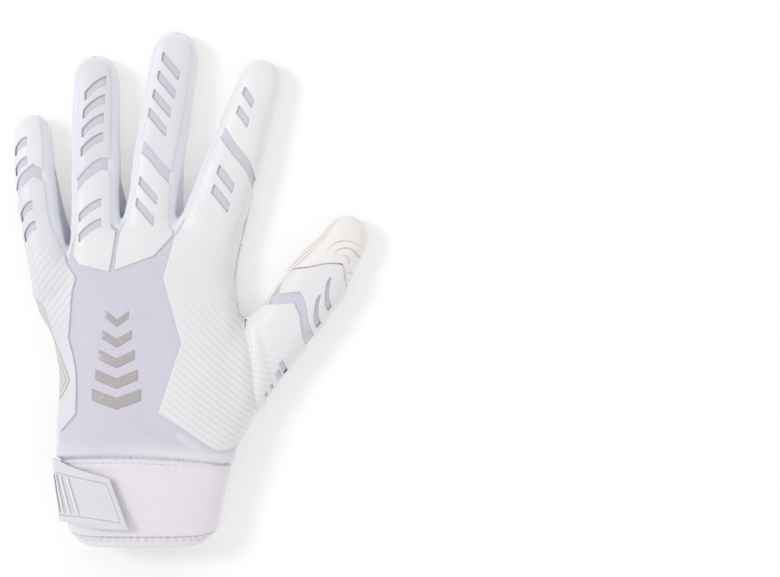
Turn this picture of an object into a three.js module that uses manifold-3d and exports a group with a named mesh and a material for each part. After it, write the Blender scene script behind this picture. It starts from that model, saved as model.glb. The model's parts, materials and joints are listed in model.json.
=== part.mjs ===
// Football receiver glove for the left hand, lying palm down with its back up.
// Millimetres. +Y runs to the fingertips, +X to the thumb, +Z up from the floor.
// Every piece is shaped about the middle of the wrist seam, and the group then moves the whole glove
// so that the middle of its box stands over the origin.
import * as THREE from "three";
import { mergeVertices } from "three/addons/utils/BufferGeometryUtils.js";
import Module from "manifold-3d";

// Hand
const HAND_LENGTH = 110;
const HAND_BREADTH = 94;
const HAND_DEPTH = 26;
const KNUCKLE_DROP_LITTLE = 19;
const KNUCKLE_DROP_INDEX = 8;

// Fingers and thumb, each from where it leaves the hand to its tip
const LITTLE_LENGTH = 72;
const RING_LENGTH = 96;
const MIDDLE_LENGTH = 107;
const INDEX_LENGTH = 94;
const THUMB_LENGTH = 107;
const LITTLE_WIDTH = 18.5;
const RING_WIDTH = 22;
const MIDDLE_WIDTH = 22.5;
const INDEX_WIDTH = 24;
const THUMB_WIDTH = 27.5;
const FINGER_DEPTH = 15.5;
const THUMB_DEPTH = 17.5;
const LITTLE_BOW = -4;
const THUMB_BOW = 2;

// Cloth walls, film overlays and the clearance that keeps pieces apart
const WALL = 1.3;
const FILM = 0.8;
const GAP = 0.3;
const PALM_SEAM_HEIGHT = 5;
const SIDE_SEAM_HEIGHT = 9.8;
const FILM_HEM_HEIGHT = 6.2;
const BAND = 5;
const WINDOW = 3.8;

// Wrist
const CUFF_LENGTH = 33;
const CUFF_WIDTH = 78;
const CUFF_DEPTH = 23;
const CUFF_LIFT = 2.4;
const CUFF_WALL = 2;
const HEM_LENGTH = 7;
const HEM_WALL = 2.6;
const HEM_CORNER = 5;
const STRAP_WIDTH = 26;
const STRAP_DEPTH = 1.4;
const STRAP_MARGIN = 2;
const TAB_DEPTH = 1.6;
const TAB_RIM = 0.8;
const BINDING_WIDTH = 1.6;
const BINDING_LENGTH = 22;
const BINDING_DEPTH = 10;

// Facets round a section
const HAND_FACETS = 20;
const LIMB_FACETS = 14;
const CUFF_FACETS = 20;

// The hand's outline: left and right edges in shares of its breadth, its height in shares of its depth.
// The wrist end is as wide as the cuff that joins it.
const WRIST_BREADTH = CUFF_WIDTH / HAND_BREADTH;
const HAND_SECTIONS = [
  { along: 0, left: -0.495 * WRIST_BREADTH, right: 0.512 * WRIST_BREADTH, height: 1, lift: 1 },
  { along: 0.1, left: -0.412, right: 0.475, height: 1, lift: 0.3 },
  { along: 0.25, left: -0.412, right: 0.5, height: 1, lift: 0 },
  { along: 0.45, left: -0.418, right: 0.485, height: 0.95, lift: 0 },
  { along: 0.62, left: -0.452, right: 0.45, height: 0.85, lift: 0 },
  { along: 0.8, left: -0.52, right: 0.428, height: 0.74, lift: 0 },
  { along: 0.93, left: -0.533, right: 0.432, height: 0.64, lift: 0 },
  { along: 1, left: -0.5, right: 0.4, height: 0.44, lift: 0 },
];

// Girth of each finger along its length, in shares of its own width, and its height in shares of its depth.
const GIRTH = [
  { along: 0, little: 0.95, ring: 1.02, middle: 1.03, index: 1.17, thumb: 0.97, height: 1.1 },
  { along: 0.3, little: 0.96, ring: 1.01, middle: 1.01, index: 1.12, thumb: 0.96, height: 1.02 },
  { along: 0.55, little: 0.95, ring: 0.99, middle: 1.01, index: 0.98, thumb: 0.99, height: 0.97 },
  { along: 0.72, little: 0.93, ring: 0.97, middle: 0.99, index: 0.85, thumb: 0.97, height: 0.92 },
  { along: 0.85, little: 0.87, ring: 0.94, middle: 0.96, index: 0.76, thumb: 0.76, height: 0.84 },
];
const DOME_START = 0.85;
const DOME_STEPS = [0.5, 0.82, 0.98];
const DOME_POWER = 2.3;
const ROOT_TUCK = 0.12;
const ROOT_GIRTH = 0.72;
// How far a shrunken end section rises towards the middle of the finger's depth: 1 is all the way.
const ROOT_RISE = 1;
const TIP_RISE = 0.8;

// Each finger's root is given in shares of the hand's breadth and length, its lean in degrees to the
// thumb side.
const LIMBS = {
  little: { root: [-0.456, 0.773], lean: -7.1, length: LITTLE_LENGTH, width: LITTLE_WIDTH, bow: LITTLE_BOW },
  ring: { root: [-0.241, 0.803], lean: 0, length: RING_LENGTH, width: RING_WIDTH, bow: 0 },
  middle: { root: [-0.012, 0.815], lean: 8.8, length: MIDDLE_LENGTH, width: MIDDLE_WIDTH, bow: 0 },
  index: { root: [0.268, 0.841], lean: 19.1, length: INDEX_LENGTH, width: INDEX_WIDTH, bow: 0 },
  thumb: { root: [0.374, 0.206], lean: 36.2, length: THUMB_LENGTH, width: THUMB_WIDTH, bow: THUMB_BOW },
};

// Across a finger a share of 1 is its silhouette, and a film that reaches past 1 wraps round the side.
// band is the lower edge of the tip film; the base film starts one band width below it.
const FINGER_FILMS = {
  little: {
    left: [-1.6, -1.6],
    right: [0.54, 0.62],
    end: 1.06,
    band: [[0.42, -1.6], [0.534, -1.07], [0.617, -0.76], [0.69, 0.04], [0.647, 0.54]],
    windows: [[0.81, -0.6], [0.684, -0.6]],
  },
  ring: {
    left: [-0.87, -0.86],
    right: [0.55, 0.74],
    end: 0.988,
    band: [[0.38, -0.87], [0.456, -0.27], [0.504, 0.32], [0.503, 0.55]],
    windows: [[0.844, -0.05], [0.756, -0.1], [0.668, -0.13], [0.58, -0.17]],
  },
  middle: {
    left: [-0.88, -0.62],
    right: [0.55, 0.78],
    end: 0.98,
    band: [[0.526, -0.88], [0.491, -0.38], [0.446, 0.09], [0.404, 0.55]],
    windows: [[0.848, -0.05], [0.766, -0.1], [0.683, -0.18], [0.601, -0.25]],
  },
  index: {
    left: [-0.87, -0.86],
    right: [1.6, 1.6],
    end: 1.06,
    band: [[0.638, -0.87], [0.597, -0.34], [0.55, 0.26], [0.466, 0.92], [0.4, 1.6]],
    windows: [[0.808, -0.25], [0.712, -0.18]],
  },
};
// A window's half reach across its finger, and how far along the finger it climbs from left to right.
const WINDOW_FORM = {
  little: { reach: 0.36, climb: 0.066 },
  ring: { reach: 0.46, climb: 0.072 },
  middle: { reach: 0.37, climb: -0.067 },
  index: { reach: 0.3, climb: -0.041 },
  thumb: { reach: 0.28, climb: -0.095 },
};

const wasm = await Module();
wasm.setup();

// A closed geometry as a solid for joining and cutting.
function solidOf(geometry) {
  const bare = geometry.clone();
  bare.deleteAttribute("normal");
  bare.deleteAttribute("uv");
  const merged = mergeVertices(bare, 1e-4);
  return new wasm.Manifold(
    new wasm.Mesh({
      numProp: 3,
      vertProperties: new Float32Array(merged.attributes.position.array),
      triVerts: new Uint32Array(merged.index.array),
    }),
  );
}

// The geometry of a solid.
function geometryOf(solid) {
  const mesh = solid.getMesh();
  const points = new Float32Array(mesh.numVert * 3);
  for (let i = 0; i < mesh.numVert; i++) {
    const start = i * mesh.numProp;
    points.set(mesh.vertProperties.subarray(start, start + 3), i * 3);
  }
  const geometry = new THREE.BufferGeometry();
  geometry.setAttribute("position", new THREE.BufferAttribute(points, 3));
  geometry.setIndex(new THREE.BufferAttribute(new Uint32Array(mesh.triVerts), 1));
  geometry.computeVertexNormals();
  return geometry;
}

// A loft through rings of equal count, closed by a fan at either end.
function loft(rings) {
  const count = rings[0].length;
  const points = rings.flat().flatMap((p) => [p.x, p.y, p.z]);
  const faces = [];
  for (let r = 0; r + 1 < rings.length; r++) {
    for (let i = 0; i < count; i++) {
      const j = (i + 1) % count;
      const a = r * count;
      const b = a + count;
      faces.push(a + i, b + j, a + j, a + i, b + i, b + j);
    }
  }
  const ends = [rings[0], rings[rings.length - 1]].map((ring) =>
    ring.reduce((sum, p) => sum.add(p), new THREE.Vector3()).divideScalar(count),
  );
  ends.forEach((p) => points.push(p.x, p.y, p.z));
  const first = rings.length * count;
  const last = (rings.length - 1) * count;
  for (let i = 0; i < count; i++) {
    const j = (i + 1) % count;
    faces.push(first, i, j, first + 1, last + j, last + i);
  }
  const geometry = new THREE.BufferGeometry();
  geometry.setAttribute("position", new THREE.BufferAttribute(new Float32Array(points), 3));
  geometry.setIndex(faces);
  return solidOf(geometry);
}

// An upright prism over a plan outline, which may run either way round.
function prism(outline, low, high) {
  const shape = new THREE.Shape(outline.map(([x, y]) => new THREE.Vector2(x, y)));
  const geometry = new THREE.ExtrudeGeometry(shape, { depth: high - low, bevelEnabled: false });
  return solidOf(geometry.translate(0, 0, low));
}

// A plan outline with every edge moved outwards by a distance, or inwards by a negative one.
function grown(outline, distance) {
  const points = outline.map(([x, y]) => new THREE.Vector2(x, y));
  const turn = THREE.ShapeUtils.area(points) > 0 ? 1 : -1;
  const normals = points.map((p, i) => {
    const edge = points[(i + 1) % points.length].clone().sub(p).normalize();
    return new THREE.Vector2(edge.y, -edge.x).multiplyScalar(turn);
  });
  return points.map((p, i) => {
    const before = normals[(i + points.length - 1) % points.length];
    const mitre = before.clone().add(normals[i]).normalize();
    const reach = distance / Math.max(0.4, mitre.dot(normals[i]));
    return [p.x + mitre.x * reach, p.y + mitre.y * reach];
  });
}

function box(x0, x1, y0, y1, z0, z1) {
  return prism([[x0, y0], [x1, y0], [x1, y1], [x0, y1]], z0, z1);
}

function union(solids) {
  return solids.reduce((all, one) => all.add(one));
}

// The largest body of a cut, without the crumbs that a cut leaves beside it.
function mainBody(solid) {
  return solid.decompose().reduce((a, b) => (a.volume() > b.volume() ? a : b));
}

// Reads a column of a table at a share along it, on straight lines between its rows.
function column(table, name, along) {
  const last = table.length - 1;
  let row = 0;
  while (row < last - 1 && along > table[row + 1].along) row++;
  const a = table[row];
  const b = table[row + 1];
  const share = THREE.MathUtils.clamp((along - a.along) / (b.along - a.along), 0, 1);
  return THREE.MathUtils.lerp(a[name], b[name], share);
}

// A superellipse with a soft top and a flattened underside, as [across, up] with up from 0 to height.
const TOP_SQUARENESS = 2.5;
const UNDER_SQUARENESS = 4.5;
const UNDER_FLATTENING = 1.03;
const WAIST = 0.44;
function section(facets, halfWidth, height) {
  const points = [];
  for (let i = 0; i < facets; i++) {
    const angle = (i / facets) * 2 * Math.PI;
    const c = Math.cos(angle);
    const s = Math.sin(angle);
    const power = 2 / (s >= 0 ? TOP_SQUARENESS : UNDER_SQUARENESS);
    const waist = height * WAIST;
    const across = halfWidth * Math.sign(c) * Math.abs(c) ** power;
    const rise = Math.abs(s) ** power;
    const over = waist + (height - waist) * rise;
    const under = waist * Math.max(0, 1 - rise * UNDER_FLATTENING);
    points.push([across, s >= 0 ? over : under]);
  }
  return points;
}

// Hand
// The knuckle arc: how far the finger roots stand back from the longest one, at x.
const KNUCKLE_CENTRE = 0.03;
const KNUCKLE_REACH = 0.48;
function knuckleDrop(x) {
  const share = (x / HAND_BREADTH - KNUCKLE_CENTRE) / KNUCKLE_REACH;
  return (share < 0 ? KNUCKLE_DROP_LITTLE : KNUCKLE_DROP_INDEX) * share * share;
}

// A plan point on the hand: along from the wrist seam to the knuckle arc, across in shares of the half width.
function onHand(along, across) {
  const left = column(HAND_SECTIONS, "left", along) * HAND_BREADTH;
  const right = column(HAND_SECTIONS, "right", along) * HAND_BREADTH;
  const x = (left + right) / 2 + (across * (right - left)) / 2;
  return [x, along * (HAND_LENGTH - knuckleDrop(x))];
}

// The hand grown by a distance all round; a negative one gives the hollow, which runs on past the wrist.
function handForm(grow) {
  const rings = HAND_SECTIONS.map((row) => {
    const left = row.left * HAND_BREADTH - grow;
    const right = row.right * HAND_BREADTH + grow;
    const height = row.height * (HAND_DEPTH - row.lift * CUFF_LIFT) + 2 * grow;
    const low = row.lift * CUFF_LIFT - grow;
    return section(HAND_FACETS, (right - left) / 2, height).map(([across, up]) => {
      const x = (left + right) / 2 + across;
      const y = row.along * (HAND_LENGTH - knuckleDrop(x)) + (row.along === 1 ? grow : 0);
      return new THREE.Vector3(x, y, low + up);
    });
  });
  if (grow < 0) rings.unshift(rings[0].map((p) => p.clone().setY(-WALL)));
  return loft(rings);
}

// Fingers and thumb
function limbFrame(name, along) {
  const limb = LIMBS[name];
  const lean = THREE.MathUtils.degToRad(limb.lean);
  const ahead = new THREE.Vector2(Math.sin(lean), Math.cos(lean));
  const side = new THREE.Vector2(Math.cos(lean), -Math.sin(lean));
  const centre = new THREE.Vector2(limb.root[0] * HAND_BREADTH, limb.root[1] * HAND_LENGTH);
  centre.addScaledVector(ahead, limb.length * along);
  centre.addScaledVector(side, limb.bow * 2 * along * (1 - along));
  const tangent = ahead.multiplyScalar(limb.length);
  tangent.addScaledVector(side, limb.bow * 2 * (1 - 2 * along)).normalize();
  return { centre, tangent, normal: new THREE.Vector2(tangent.y, -tangent.x) };
}

function limbHalfWidth(name, along) {
  return (column(GIRTH, name, Math.min(along, DOME_START)) * LIMBS[name].width) / 2;
}

// A plan point on a finger: along from root to tip, across in shares of the half width.
function onLimb(name, along, across) {
  const { centre, normal } = limbFrame(name, along);
  centre.addScaledVector(normal, across * limbHalfWidth(name, along));
  return [centre.x, centre.y];
}

const handPoints = (rows) => rows.map(([along, across]) => onHand(along, across));
const limbPoints = (name, rows) => rows.map(([along, across]) => onLimb(name, along, across));

// A finger grown by a distance all round, its root tucked into the hand and its tip domed.
function limbForm(name, grow) {
  const limb = LIMBS[name];
  const depth = name === "thumb" ? THUMB_DEPTH : FINGER_DEPTH;
  const end = 1 + grow / limb.length;
  const ring = (along, girth, rise) => {
    const { centre, normal } = limbFrame(name, along);
    const halfWidth = (limbHalfWidth(name, along) + grow) * girth;
    const height = (column(GIRTH, "height", Math.min(along, DOME_START)) * depth + 2 * grow) * girth;
    const rest = -grow + (rise * depth * (1 - girth)) / 2;
    return section(LIMB_FACETS, halfWidth, height).map(([across, up]) => {
      const x = centre.x + normal.x * across;
      const y = centre.y + normal.y * across;
      return new THREE.Vector3(x, y, rest + up);
    });
  };
  const rings = [ring(-ROOT_TUCK, ROOT_GIRTH, ROOT_RISE)];
  GIRTH.forEach((row) => rings.push(ring(row.along, 1, 0)));
  DOME_STEPS.forEach((step) => {
    const girth = (1 - step ** DOME_POWER) ** (1 / DOME_POWER);
    rings.push(ring(THREE.MathUtils.lerp(DOME_START, end, step), girth, TIP_RISE));
  });
  return loft(rings);
}

function gloveForm(grow) {
  return union([handForm(grow), ...Object.keys(LIMBS).map((name) => limbForm(name, grow))]);
}

const outside = gloveForm(0);
const shell = outside.subtract(gloveForm(-WALL));
const HIGH = 2 * HAND_DEPTH;

// The thumb's tip and the strip beside the little finger's knuckle are palm material carried up to the back.
const THUMB_CAP = [
  [0.6, -1.7], [0.628, -1.2], [0.665, -0.86], [0.707, -0.5], [0.78, 0.1],
  [0.805, 0.47], [0.736, 0.97], [0.7, 1.7], [1.1, 1.7], [1.1, -1.7],
];
const ULNAR_STRIP = [
  [0.9, -1.3], [0.9, -0.97], [0.83, -0.88], [0.685, -0.83], [0.432, -0.84],
  [0.35, -0.84], [0.291, -0.94], [0.25, -1.3],
];
// The crease across the thumb's root, where its film and its palm side are sewn on.
const THUMB_CREASE = [[0.325, -0.97], [0.271, -0.41], [0.181, 0.32], [0.105, 0.81], [0.06, 1.6]];
const thumbPalm = limbPoints("thumb", [[0.36, -1.5], ...THUMB_CREASE, [1.2, 1.7], [1.2, -1.9]]);
const thumbCap = limbPoints("thumb", THUMB_CAP);
const ulnarStrip = handPoints(ULNAR_STRIP);

// The plan between two neighbouring fingers, from axis to axis, where their side walls are one strip.
function betweenFingers([left, right]) {
  const steps = [0.02, 0.3, 0.6, 0.9, 1.25];
  const up = steps.map((along) => onLimb(left, along, 0));
  const down = steps.map((along) => onLimb(right, along, 0));
  return [...up, ...down.reverse()];
}

const NEIGHBOURS = [["little", "ring"], ["ring", "middle"], ["middle", "index"]];
const below = box(-HAND_LENGTH, 2 * HAND_LENGTH, -HAND_LENGTH, 3 * HAND_LENGTH, -HIGH, PALM_SEAM_HEIGHT);
const above = box(-HAND_LENGTH, 2 * HAND_LENGTH, -HAND_LENGTH, 3 * HAND_LENGTH, PALM_SEAM_HEIGHT + GAP, HIGH);

function palm() {
  const raised = prism(ulnarStrip, 0, HIGH);
  return mainBody(shell.intersect(below.add(raised)).subtract(prism(grown(thumbPalm, GAP), -HIGH, HIGH)));
}

function palmThumb() {
  const raised = prism(thumbCap, 0, HIGH);
  return mainBody(shell.intersect(below.add(raised)).intersect(prism(thumbPalm, -HIGH, HIGH)));
}

function sideStrip(fingers) {
  const region = prism(grown(betweenFingers(fingers), -GAP), PALM_SEAM_HEIGHT + GAP, SIDE_SEAM_HEIGHT);
  return mainBody(shell.intersect(region));
}

function back() {
  const strips = NEIGHBOURS.map((fingers) =>
    prism(betweenFingers(fingers), PALM_SEAM_HEIGHT, SIDE_SEAM_HEIGHT + GAP),
  );
  const raised = [thumbCap, ulnarStrip].map((outline) => prism(grown(outline, GAP), 0, HIGH));
  return mainBody(shell.intersect(above).subtract(union([...strips, ...raised])));
}

// Films
const filmLayer = gloveForm(GAP + FILM).subtract(gloveForm(GAP));

// A film over a plan outline, drawn in by half the gap so that films which share an edge stay apart.
function film(outline, windows) {
  const blank = filmLayer.intersect(prism(grown(outline, -GAP / 2), FILM_HEM_HEIGHT, HIGH));
  return mainBody(blank.subtract(union(windows)));
}

// A slanted window through a film, one WINDOW long along the finger.
function windowPrism(name, [along, across]) {
  const { reach, climb } = WINDOW_FORM[name];
  const half = WINDOW / LIMBS[name].length / 2;
  const corners = [[-1, -1], [1, -1], [1, 1], [-1, 1]];
  const outline = corners.map(([a, b]) =>
    onLimb(name, along + a * half + (b * climb) / 2, across + b * reach),
  );
  return prism(outline, 0, HIGH);
}

function tipFilm(name) {
  const { left, right, end, band, windows } = FINGER_FILMS[name];
  const lower = band.map(([along, across]) => onLimb(name, along, across));
  const shoulders = [[0.88, right[1]], [0.95, right[1] * 0.9]];
  const crown = [[end, right[1] * 0.45], [end, left[1] * 0.45]];
  const flank = [[0.95, left[1] * 0.9], [0.88, left[1]], [0.7, (left[0] + left[1]) / 2]];
  const upper = [...shoulders, ...crown, ...flank].map(([along, across]) => onLimb(name, along, across));
  return film([...lower, ...upper], windows.map((w) => windowPrism(name, w)));
}

// The upper edge of a finger's base film, one band below its tip film.
function baseEdge(name) {
  return FINGER_FILMS[name].band.map(([along, across]) =>
    onLimb(name, along - BAND / LIMBS[name].length, across),
  );
}

function ringBaseFilm() {
  const outline = [
    ...baseEdge("ring"),
    ...limbPoints("ring", [[0.18, 0.62]]),
    ...handPoints([
      [0.96, -0.17], [0.87, -0.19], [0.792, -0.24], [0.827, -0.38], [0.876, -0.53], [0.945, -0.615],
    ]),
    ...limbPoints("ring", [[0.168, -0.87]]),
  ];
  return film(outline, [[0.26, -0.28], [0.165, -0.28]].map((w) => windowPrism("ring", w)));
}

function middleBaseFilm() {
  const outline = [
    ...baseEdge("middle"),
    ...limbPoints("middle", [[0.2, 0.75]]),
    ...handPoints([[0.932, 0.37], [0.879, 0.29], [0.836, 0.19], [0.793, -0.19], [0.87, -0.155], [0.96, -0.13]]),
    ...limbPoints("middle", [[0.2, -0.93]]),
  ];
  return film(outline, [[0.31, -0.22], [0.22, -0.22]].map((w) => windowPrism("middle", w)));
}

function littleSideFilm() {
  const outline = [
    ...baseEdge("little"),
    ...limbPoints("little", [[0.29, 0.6]]),
    ...handPoints([
      [0.97, -0.71], [0.92, -0.66], [0.826, -0.57], [0.684, -0.6], [0.596, -0.67],
      [0.391, -0.75], [0.197, -0.76], [0.11, -0.91], [0.26, -0.92], [0.33, -0.85],
      [0.42, -0.81], [0.72, -0.81], [0.85, -0.86], [0.93, -0.95], [0.95, -1.3],
    ]),
    ...limbPoints("little", [[0.1, -1.6]]),
  ];
  return film(outline, [[0.401, -0.55], [0.272, -0.55]].map((w) => windowPrism("little", w)));
}

function indexSideFilm() {
  const outline = [
    ...baseEdge("index"),
    ...limbPoints("index", [[0.2, 1.6]]),
    ...handPoints([[0.9, 1.3], [0.75, 1.2], [0.64, 1.1]]),
    ...limbPoints("thumb", THUMB_CREASE),
    ...limbPoints("thumb", [[-0.08, 1.6]]),
    ...handPoints([[0.035, 0.9], [0.085, 0.56], [0.193, 0.1], [0.481, 0.37], [0.75, 0.3], [0.92, 0.4]]),
    ...limbPoints("index", [[0.057, -0.91], [0.196, -0.85], [0.356, -0.8]]),
  ];
  return film(outline, [[0.394, 0.03], [0.298, 0.08]].map((w) => windowPrism("index", w)));
}

function thumbBaseFilm() {
  const outline = [
    ...limbPoints("thumb", THUMB_CREASE).reverse(),
    ...limbPoints("thumb", [
      [0.4, -1.2], [0.47, -0.9], [0.523, -0.41], [0.549, -0.15], [0.52, 0.24], [0.448, 0.78], [0.38, 1.6],
    ]),
  ];
  return film(outline, [[0.3, 0.8], [0.16, 0.96]].map((w) => windowPrism("thumb", w)));
}

function thumbTipFilm() {
  const outline = limbPoints("thumb", [
    [0.541, -0.74], [0.602, -0.21], [0.584, 0.08], [0.519, 0.63], [0.44, 1.6], [0.69, 1.6],
    [0.72, 0.97], [0.785, 0.6], [0.765, 0.15], [0.697, -0.46], [0.655, -0.83], [0.6, -0.93],
  ]);
  return film(outline, [[0.583, 0.66], [0.668, 0.62]].map((w) => windowPrism("thumb", w)));
}

// Cuff
const CUFF_SECTIONS = [
  { along: 0, left: -0.487, right: 0.512, height: 1 },
  { along: 0.5, left: -0.465, right: 0.463, height: 0.98 },
  { along: 0.84, left: -0.435, right: 0.425, height: 0.94 },
  { along: 1, left: -0.405, right: 0.395, height: 0.9 },
];
const SLEEVE = CUFF_LENGTH + HEM_LENGTH;
const CORNER_POWER = 8;

// The sleeve grown by a distance, between two shares of its length; its lower corners are rounded off.
function sleeve(grow, from, to) {
  const stops = [from, ...CUFF_SECTIONS.map((row) => row.along).filter((a) => a > from && a < to), to];
  const rings = stops.map((along) => {
    const left = column(CUFF_SECTIONS, "left", along) * CUFF_WIDTH - grow;
    const right = column(CUFF_SECTIONS, "right", along) * CUFF_WIDTH + grow;
    const height = column(CUFF_SECTIONS, "height", along) * CUFF_DEPTH + 2 * grow;
    const half = (right - left) / 2;
    return section(CUFF_FACETS, half, height).map(([across, up]) => {
      const corner = HEM_CORNER * Math.max(0, along) * Math.abs(across / half) ** CORNER_POWER;
      return new THREE.Vector3((left + right) / 2 + across, corner - along * SLEEVE, CUFF_LIFT - grow + up);
    });
  });
  return loft(rings.reverse());
}

const SEAM_SHARE = GAP / SLEEVE;
const HEM_SHARE = CUFF_LENGTH / SLEEVE;

function cuff() {
  const wall = sleeve(0, SEAM_SHARE, HEM_SHARE).subtract(sleeve(-CUFF_WALL, -0.1, 1.1));
  return mainBody(wall);
}

function cuffHem() {
  const outer = sleeve(HEM_WALL - CUFF_WALL, HEM_SHARE + SEAM_SHARE, 1);
  return mainBody(outer.subtract(sleeve(-CUFF_WALL, -0.1, 1.1)));
}

// Strap, tab and side binding
const strapTop = -STRAP_MARGIN;
const strapEnd = strapTop - STRAP_WIDTH;
const tabSeat = GAP + STRAP_DEPTH + GAP;

function sleeveLayer(low, high) {
  return sleeve(high, -0.2, 1.2).subtract(sleeve(low, -0.3, 1.3));
}

function strap() {
  const middle = CUFF_LIFT + CUFF_DEPTH / 2;
  const under = box(-CUFF_WIDTH, 0.05 * CUFF_WIDTH, strapEnd, strapTop, -HIGH, middle);
  const round = box(-CUFF_WIDTH, -0.25 * CUFF_WIDTH, strapEnd, strapTop, -HIGH, HIGH);
  return mainBody(sleeveLayer(GAP, GAP + STRAP_DEPTH).intersect(union([under, round])));
}

// The tab's outline and its sunk field, which runs out over the glove's edge, in shares of the cuff's width
// across and of the sleeve's length down from the seam.
const TAB_OUTLINE = [
  [-0.56, 0.02], [-0.49, 0.03], [-0.41, 0.085], [-0.195, 0.235], [-0.088, 0.8], [-0.41, 0.72], [-0.56, 0.7],
];
const TAB_FIELD = [[-0.65, 0.13], [-0.424, 0.2], [-0.212, 0.31], [-0.135, 0.665], [-0.354, 0.62], [-0.65, 0.6]];

function strapTab() {
  const low = CUFF_LIFT + CUFF_DEPTH * WAIST;
  const onSleeve = (rows) => rows.map(([x, y]) => [x * CUFF_WIDTH, -y * SLEEVE]);
  const plateTop = tabSeat + TAB_DEPTH;
  const blank = sleeveLayer(tabSeat, plateTop + TAB_RIM).intersect(prism(onSleeve(TAB_OUTLINE), low, HIGH));
  const sunk = sleeveLayer(plateTop, plateTop + 2 * TAB_RIM).intersect(prism(onSleeve(TAB_FIELD), -HIGH, HIGH));
  return mainBody(blank.subtract(sunk));
}

// The bound edge follows the hand's side from the wrist seam up.
const BINDING_RUN = [0, 0.1, BINDING_LENGTH / HAND_LENGTH];
function sideBinding() {
  const low = PALM_SEAM_HEIGHT + GAP;
  const edge = BINDING_RUN.map((along) => onHand(along, -1));
  const inner = edge.map(([x, y]) => [x + BINDING_WIDTH, y + GAP]);
  const outer = edge.map(([x, y]) => [x - BINDING_DEPTH, y + GAP]);
  const region = prism([...inner, ...outer.reverse()], low, low + BINDING_DEPTH);
  return mainBody(filmLayer.intersect(region));
}

// Materials
const look = (colour, roughness, metalness = 0) =>
  new THREE.MeshStandardMaterial({ color: colour, roughness, metalness });
const knit = look(0xd4d2dd, 0.85);
const palmSkin = look(0xeee9e6, 0.5);
const sideKnit = look(0xdfe2ec, 0.8);
const filmSkin = look(0xe9e9eb, 0.4);
const neoprene = look(0xe8e2e8, 0.9);
const hemTape = look(0xe3e2eb, 0.8);
const rubber = look(0xdddbe1, 0.55);

const PIECES = [
  ["palm", palmSkin, palm],
  ["palm_thumb", palmSkin, palmThumb],
  ["back", knit, back],
  ["fourchette_little_ring", sideKnit, () => sideStrip(NEIGHBOURS[0])],
  ["fourchette_ring_middle", sideKnit, () => sideStrip(NEIGHBOURS[1])],
  ["fourchette_middle_index", sideKnit, () => sideStrip(NEIGHBOURS[2])],
  ["film_little_tip", filmSkin, () => tipFilm("little")],
  ["film_ring_tip", filmSkin, () => tipFilm("ring")],
  ["film_middle_tip", filmSkin, () => tipFilm("middle")],
  ["film_index_tip", filmSkin, () => tipFilm("index")],
  ["film_thumb_tip", filmSkin, thumbTipFilm],
  ["film_little_side", filmSkin, littleSideFilm],
  ["film_ring_base", filmSkin, ringBaseFilm],
  ["film_middle_base", filmSkin, middleBaseFilm],
  ["film_index_side", filmSkin, indexSideFilm],
  ["film_thumb_base", filmSkin, thumbBaseFilm],
  ["cuff", neoprene, cuff],
  ["cuff_hem", hemTape, cuffHem],
  ["strap", hemTape, strap],
  ["strap_tab", rubber, strapTab],
  ["side_binding", hemTape, sideBinding],
];

const glove = new THREE.Group();
for (const [name, material, make] of PIECES) {
  const mesh = new THREE.Mesh(geometryOf(make()), material);
  mesh.name = name;
  glove.add(mesh);
}

const extent = new THREE.Box3().setFromObject(glove, true);
glove.position.set(-(extent.min.x + extent.max.x) / 2, -(extent.min.y + extent.max.y) / 2, -extent.min.z);

export default glove;
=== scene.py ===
"""Looks of the football receiver glove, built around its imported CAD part.

Lengths in the tables are millimetres about the middle of the wrist seam: +Y to the fingertips, +X to the
thumb, +Z up. SEAM moves them into the part's own frame, and MM turns them into metres.
"""

import json
import math

import bpy
import numpy as np
from bpy.props import FloatProperty, FloatVectorProperty, PointerProperty
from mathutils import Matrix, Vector


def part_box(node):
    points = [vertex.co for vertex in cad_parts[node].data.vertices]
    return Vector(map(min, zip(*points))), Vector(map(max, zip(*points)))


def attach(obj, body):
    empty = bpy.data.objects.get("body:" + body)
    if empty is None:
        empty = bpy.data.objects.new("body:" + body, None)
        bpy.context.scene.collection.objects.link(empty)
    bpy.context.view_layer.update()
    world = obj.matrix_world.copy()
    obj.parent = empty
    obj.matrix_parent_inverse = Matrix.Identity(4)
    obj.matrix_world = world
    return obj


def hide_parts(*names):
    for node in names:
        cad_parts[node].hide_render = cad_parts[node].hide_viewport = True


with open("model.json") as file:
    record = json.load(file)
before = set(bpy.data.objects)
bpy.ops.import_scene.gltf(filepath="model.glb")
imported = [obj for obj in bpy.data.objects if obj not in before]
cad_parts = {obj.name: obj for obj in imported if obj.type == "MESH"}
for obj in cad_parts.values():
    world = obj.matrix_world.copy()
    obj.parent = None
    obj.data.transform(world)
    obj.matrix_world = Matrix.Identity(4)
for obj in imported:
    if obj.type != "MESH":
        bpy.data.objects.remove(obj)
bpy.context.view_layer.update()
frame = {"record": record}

bl_info = {
    "name": "Receiver glove",
    "version": (1, 0, 0),
    "blender": (4, 5, 0),
    "location": "View3D > Sidebar > Glove",
    "description": "Builds the cloth, films, cuff and strap of a football receiver glove, and its stage",
    "category": "Add Mesh",
}

MM = 0.001
SEAM = np.array([-20.89, -77.75, 0.0])
FAR = 12.0

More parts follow.
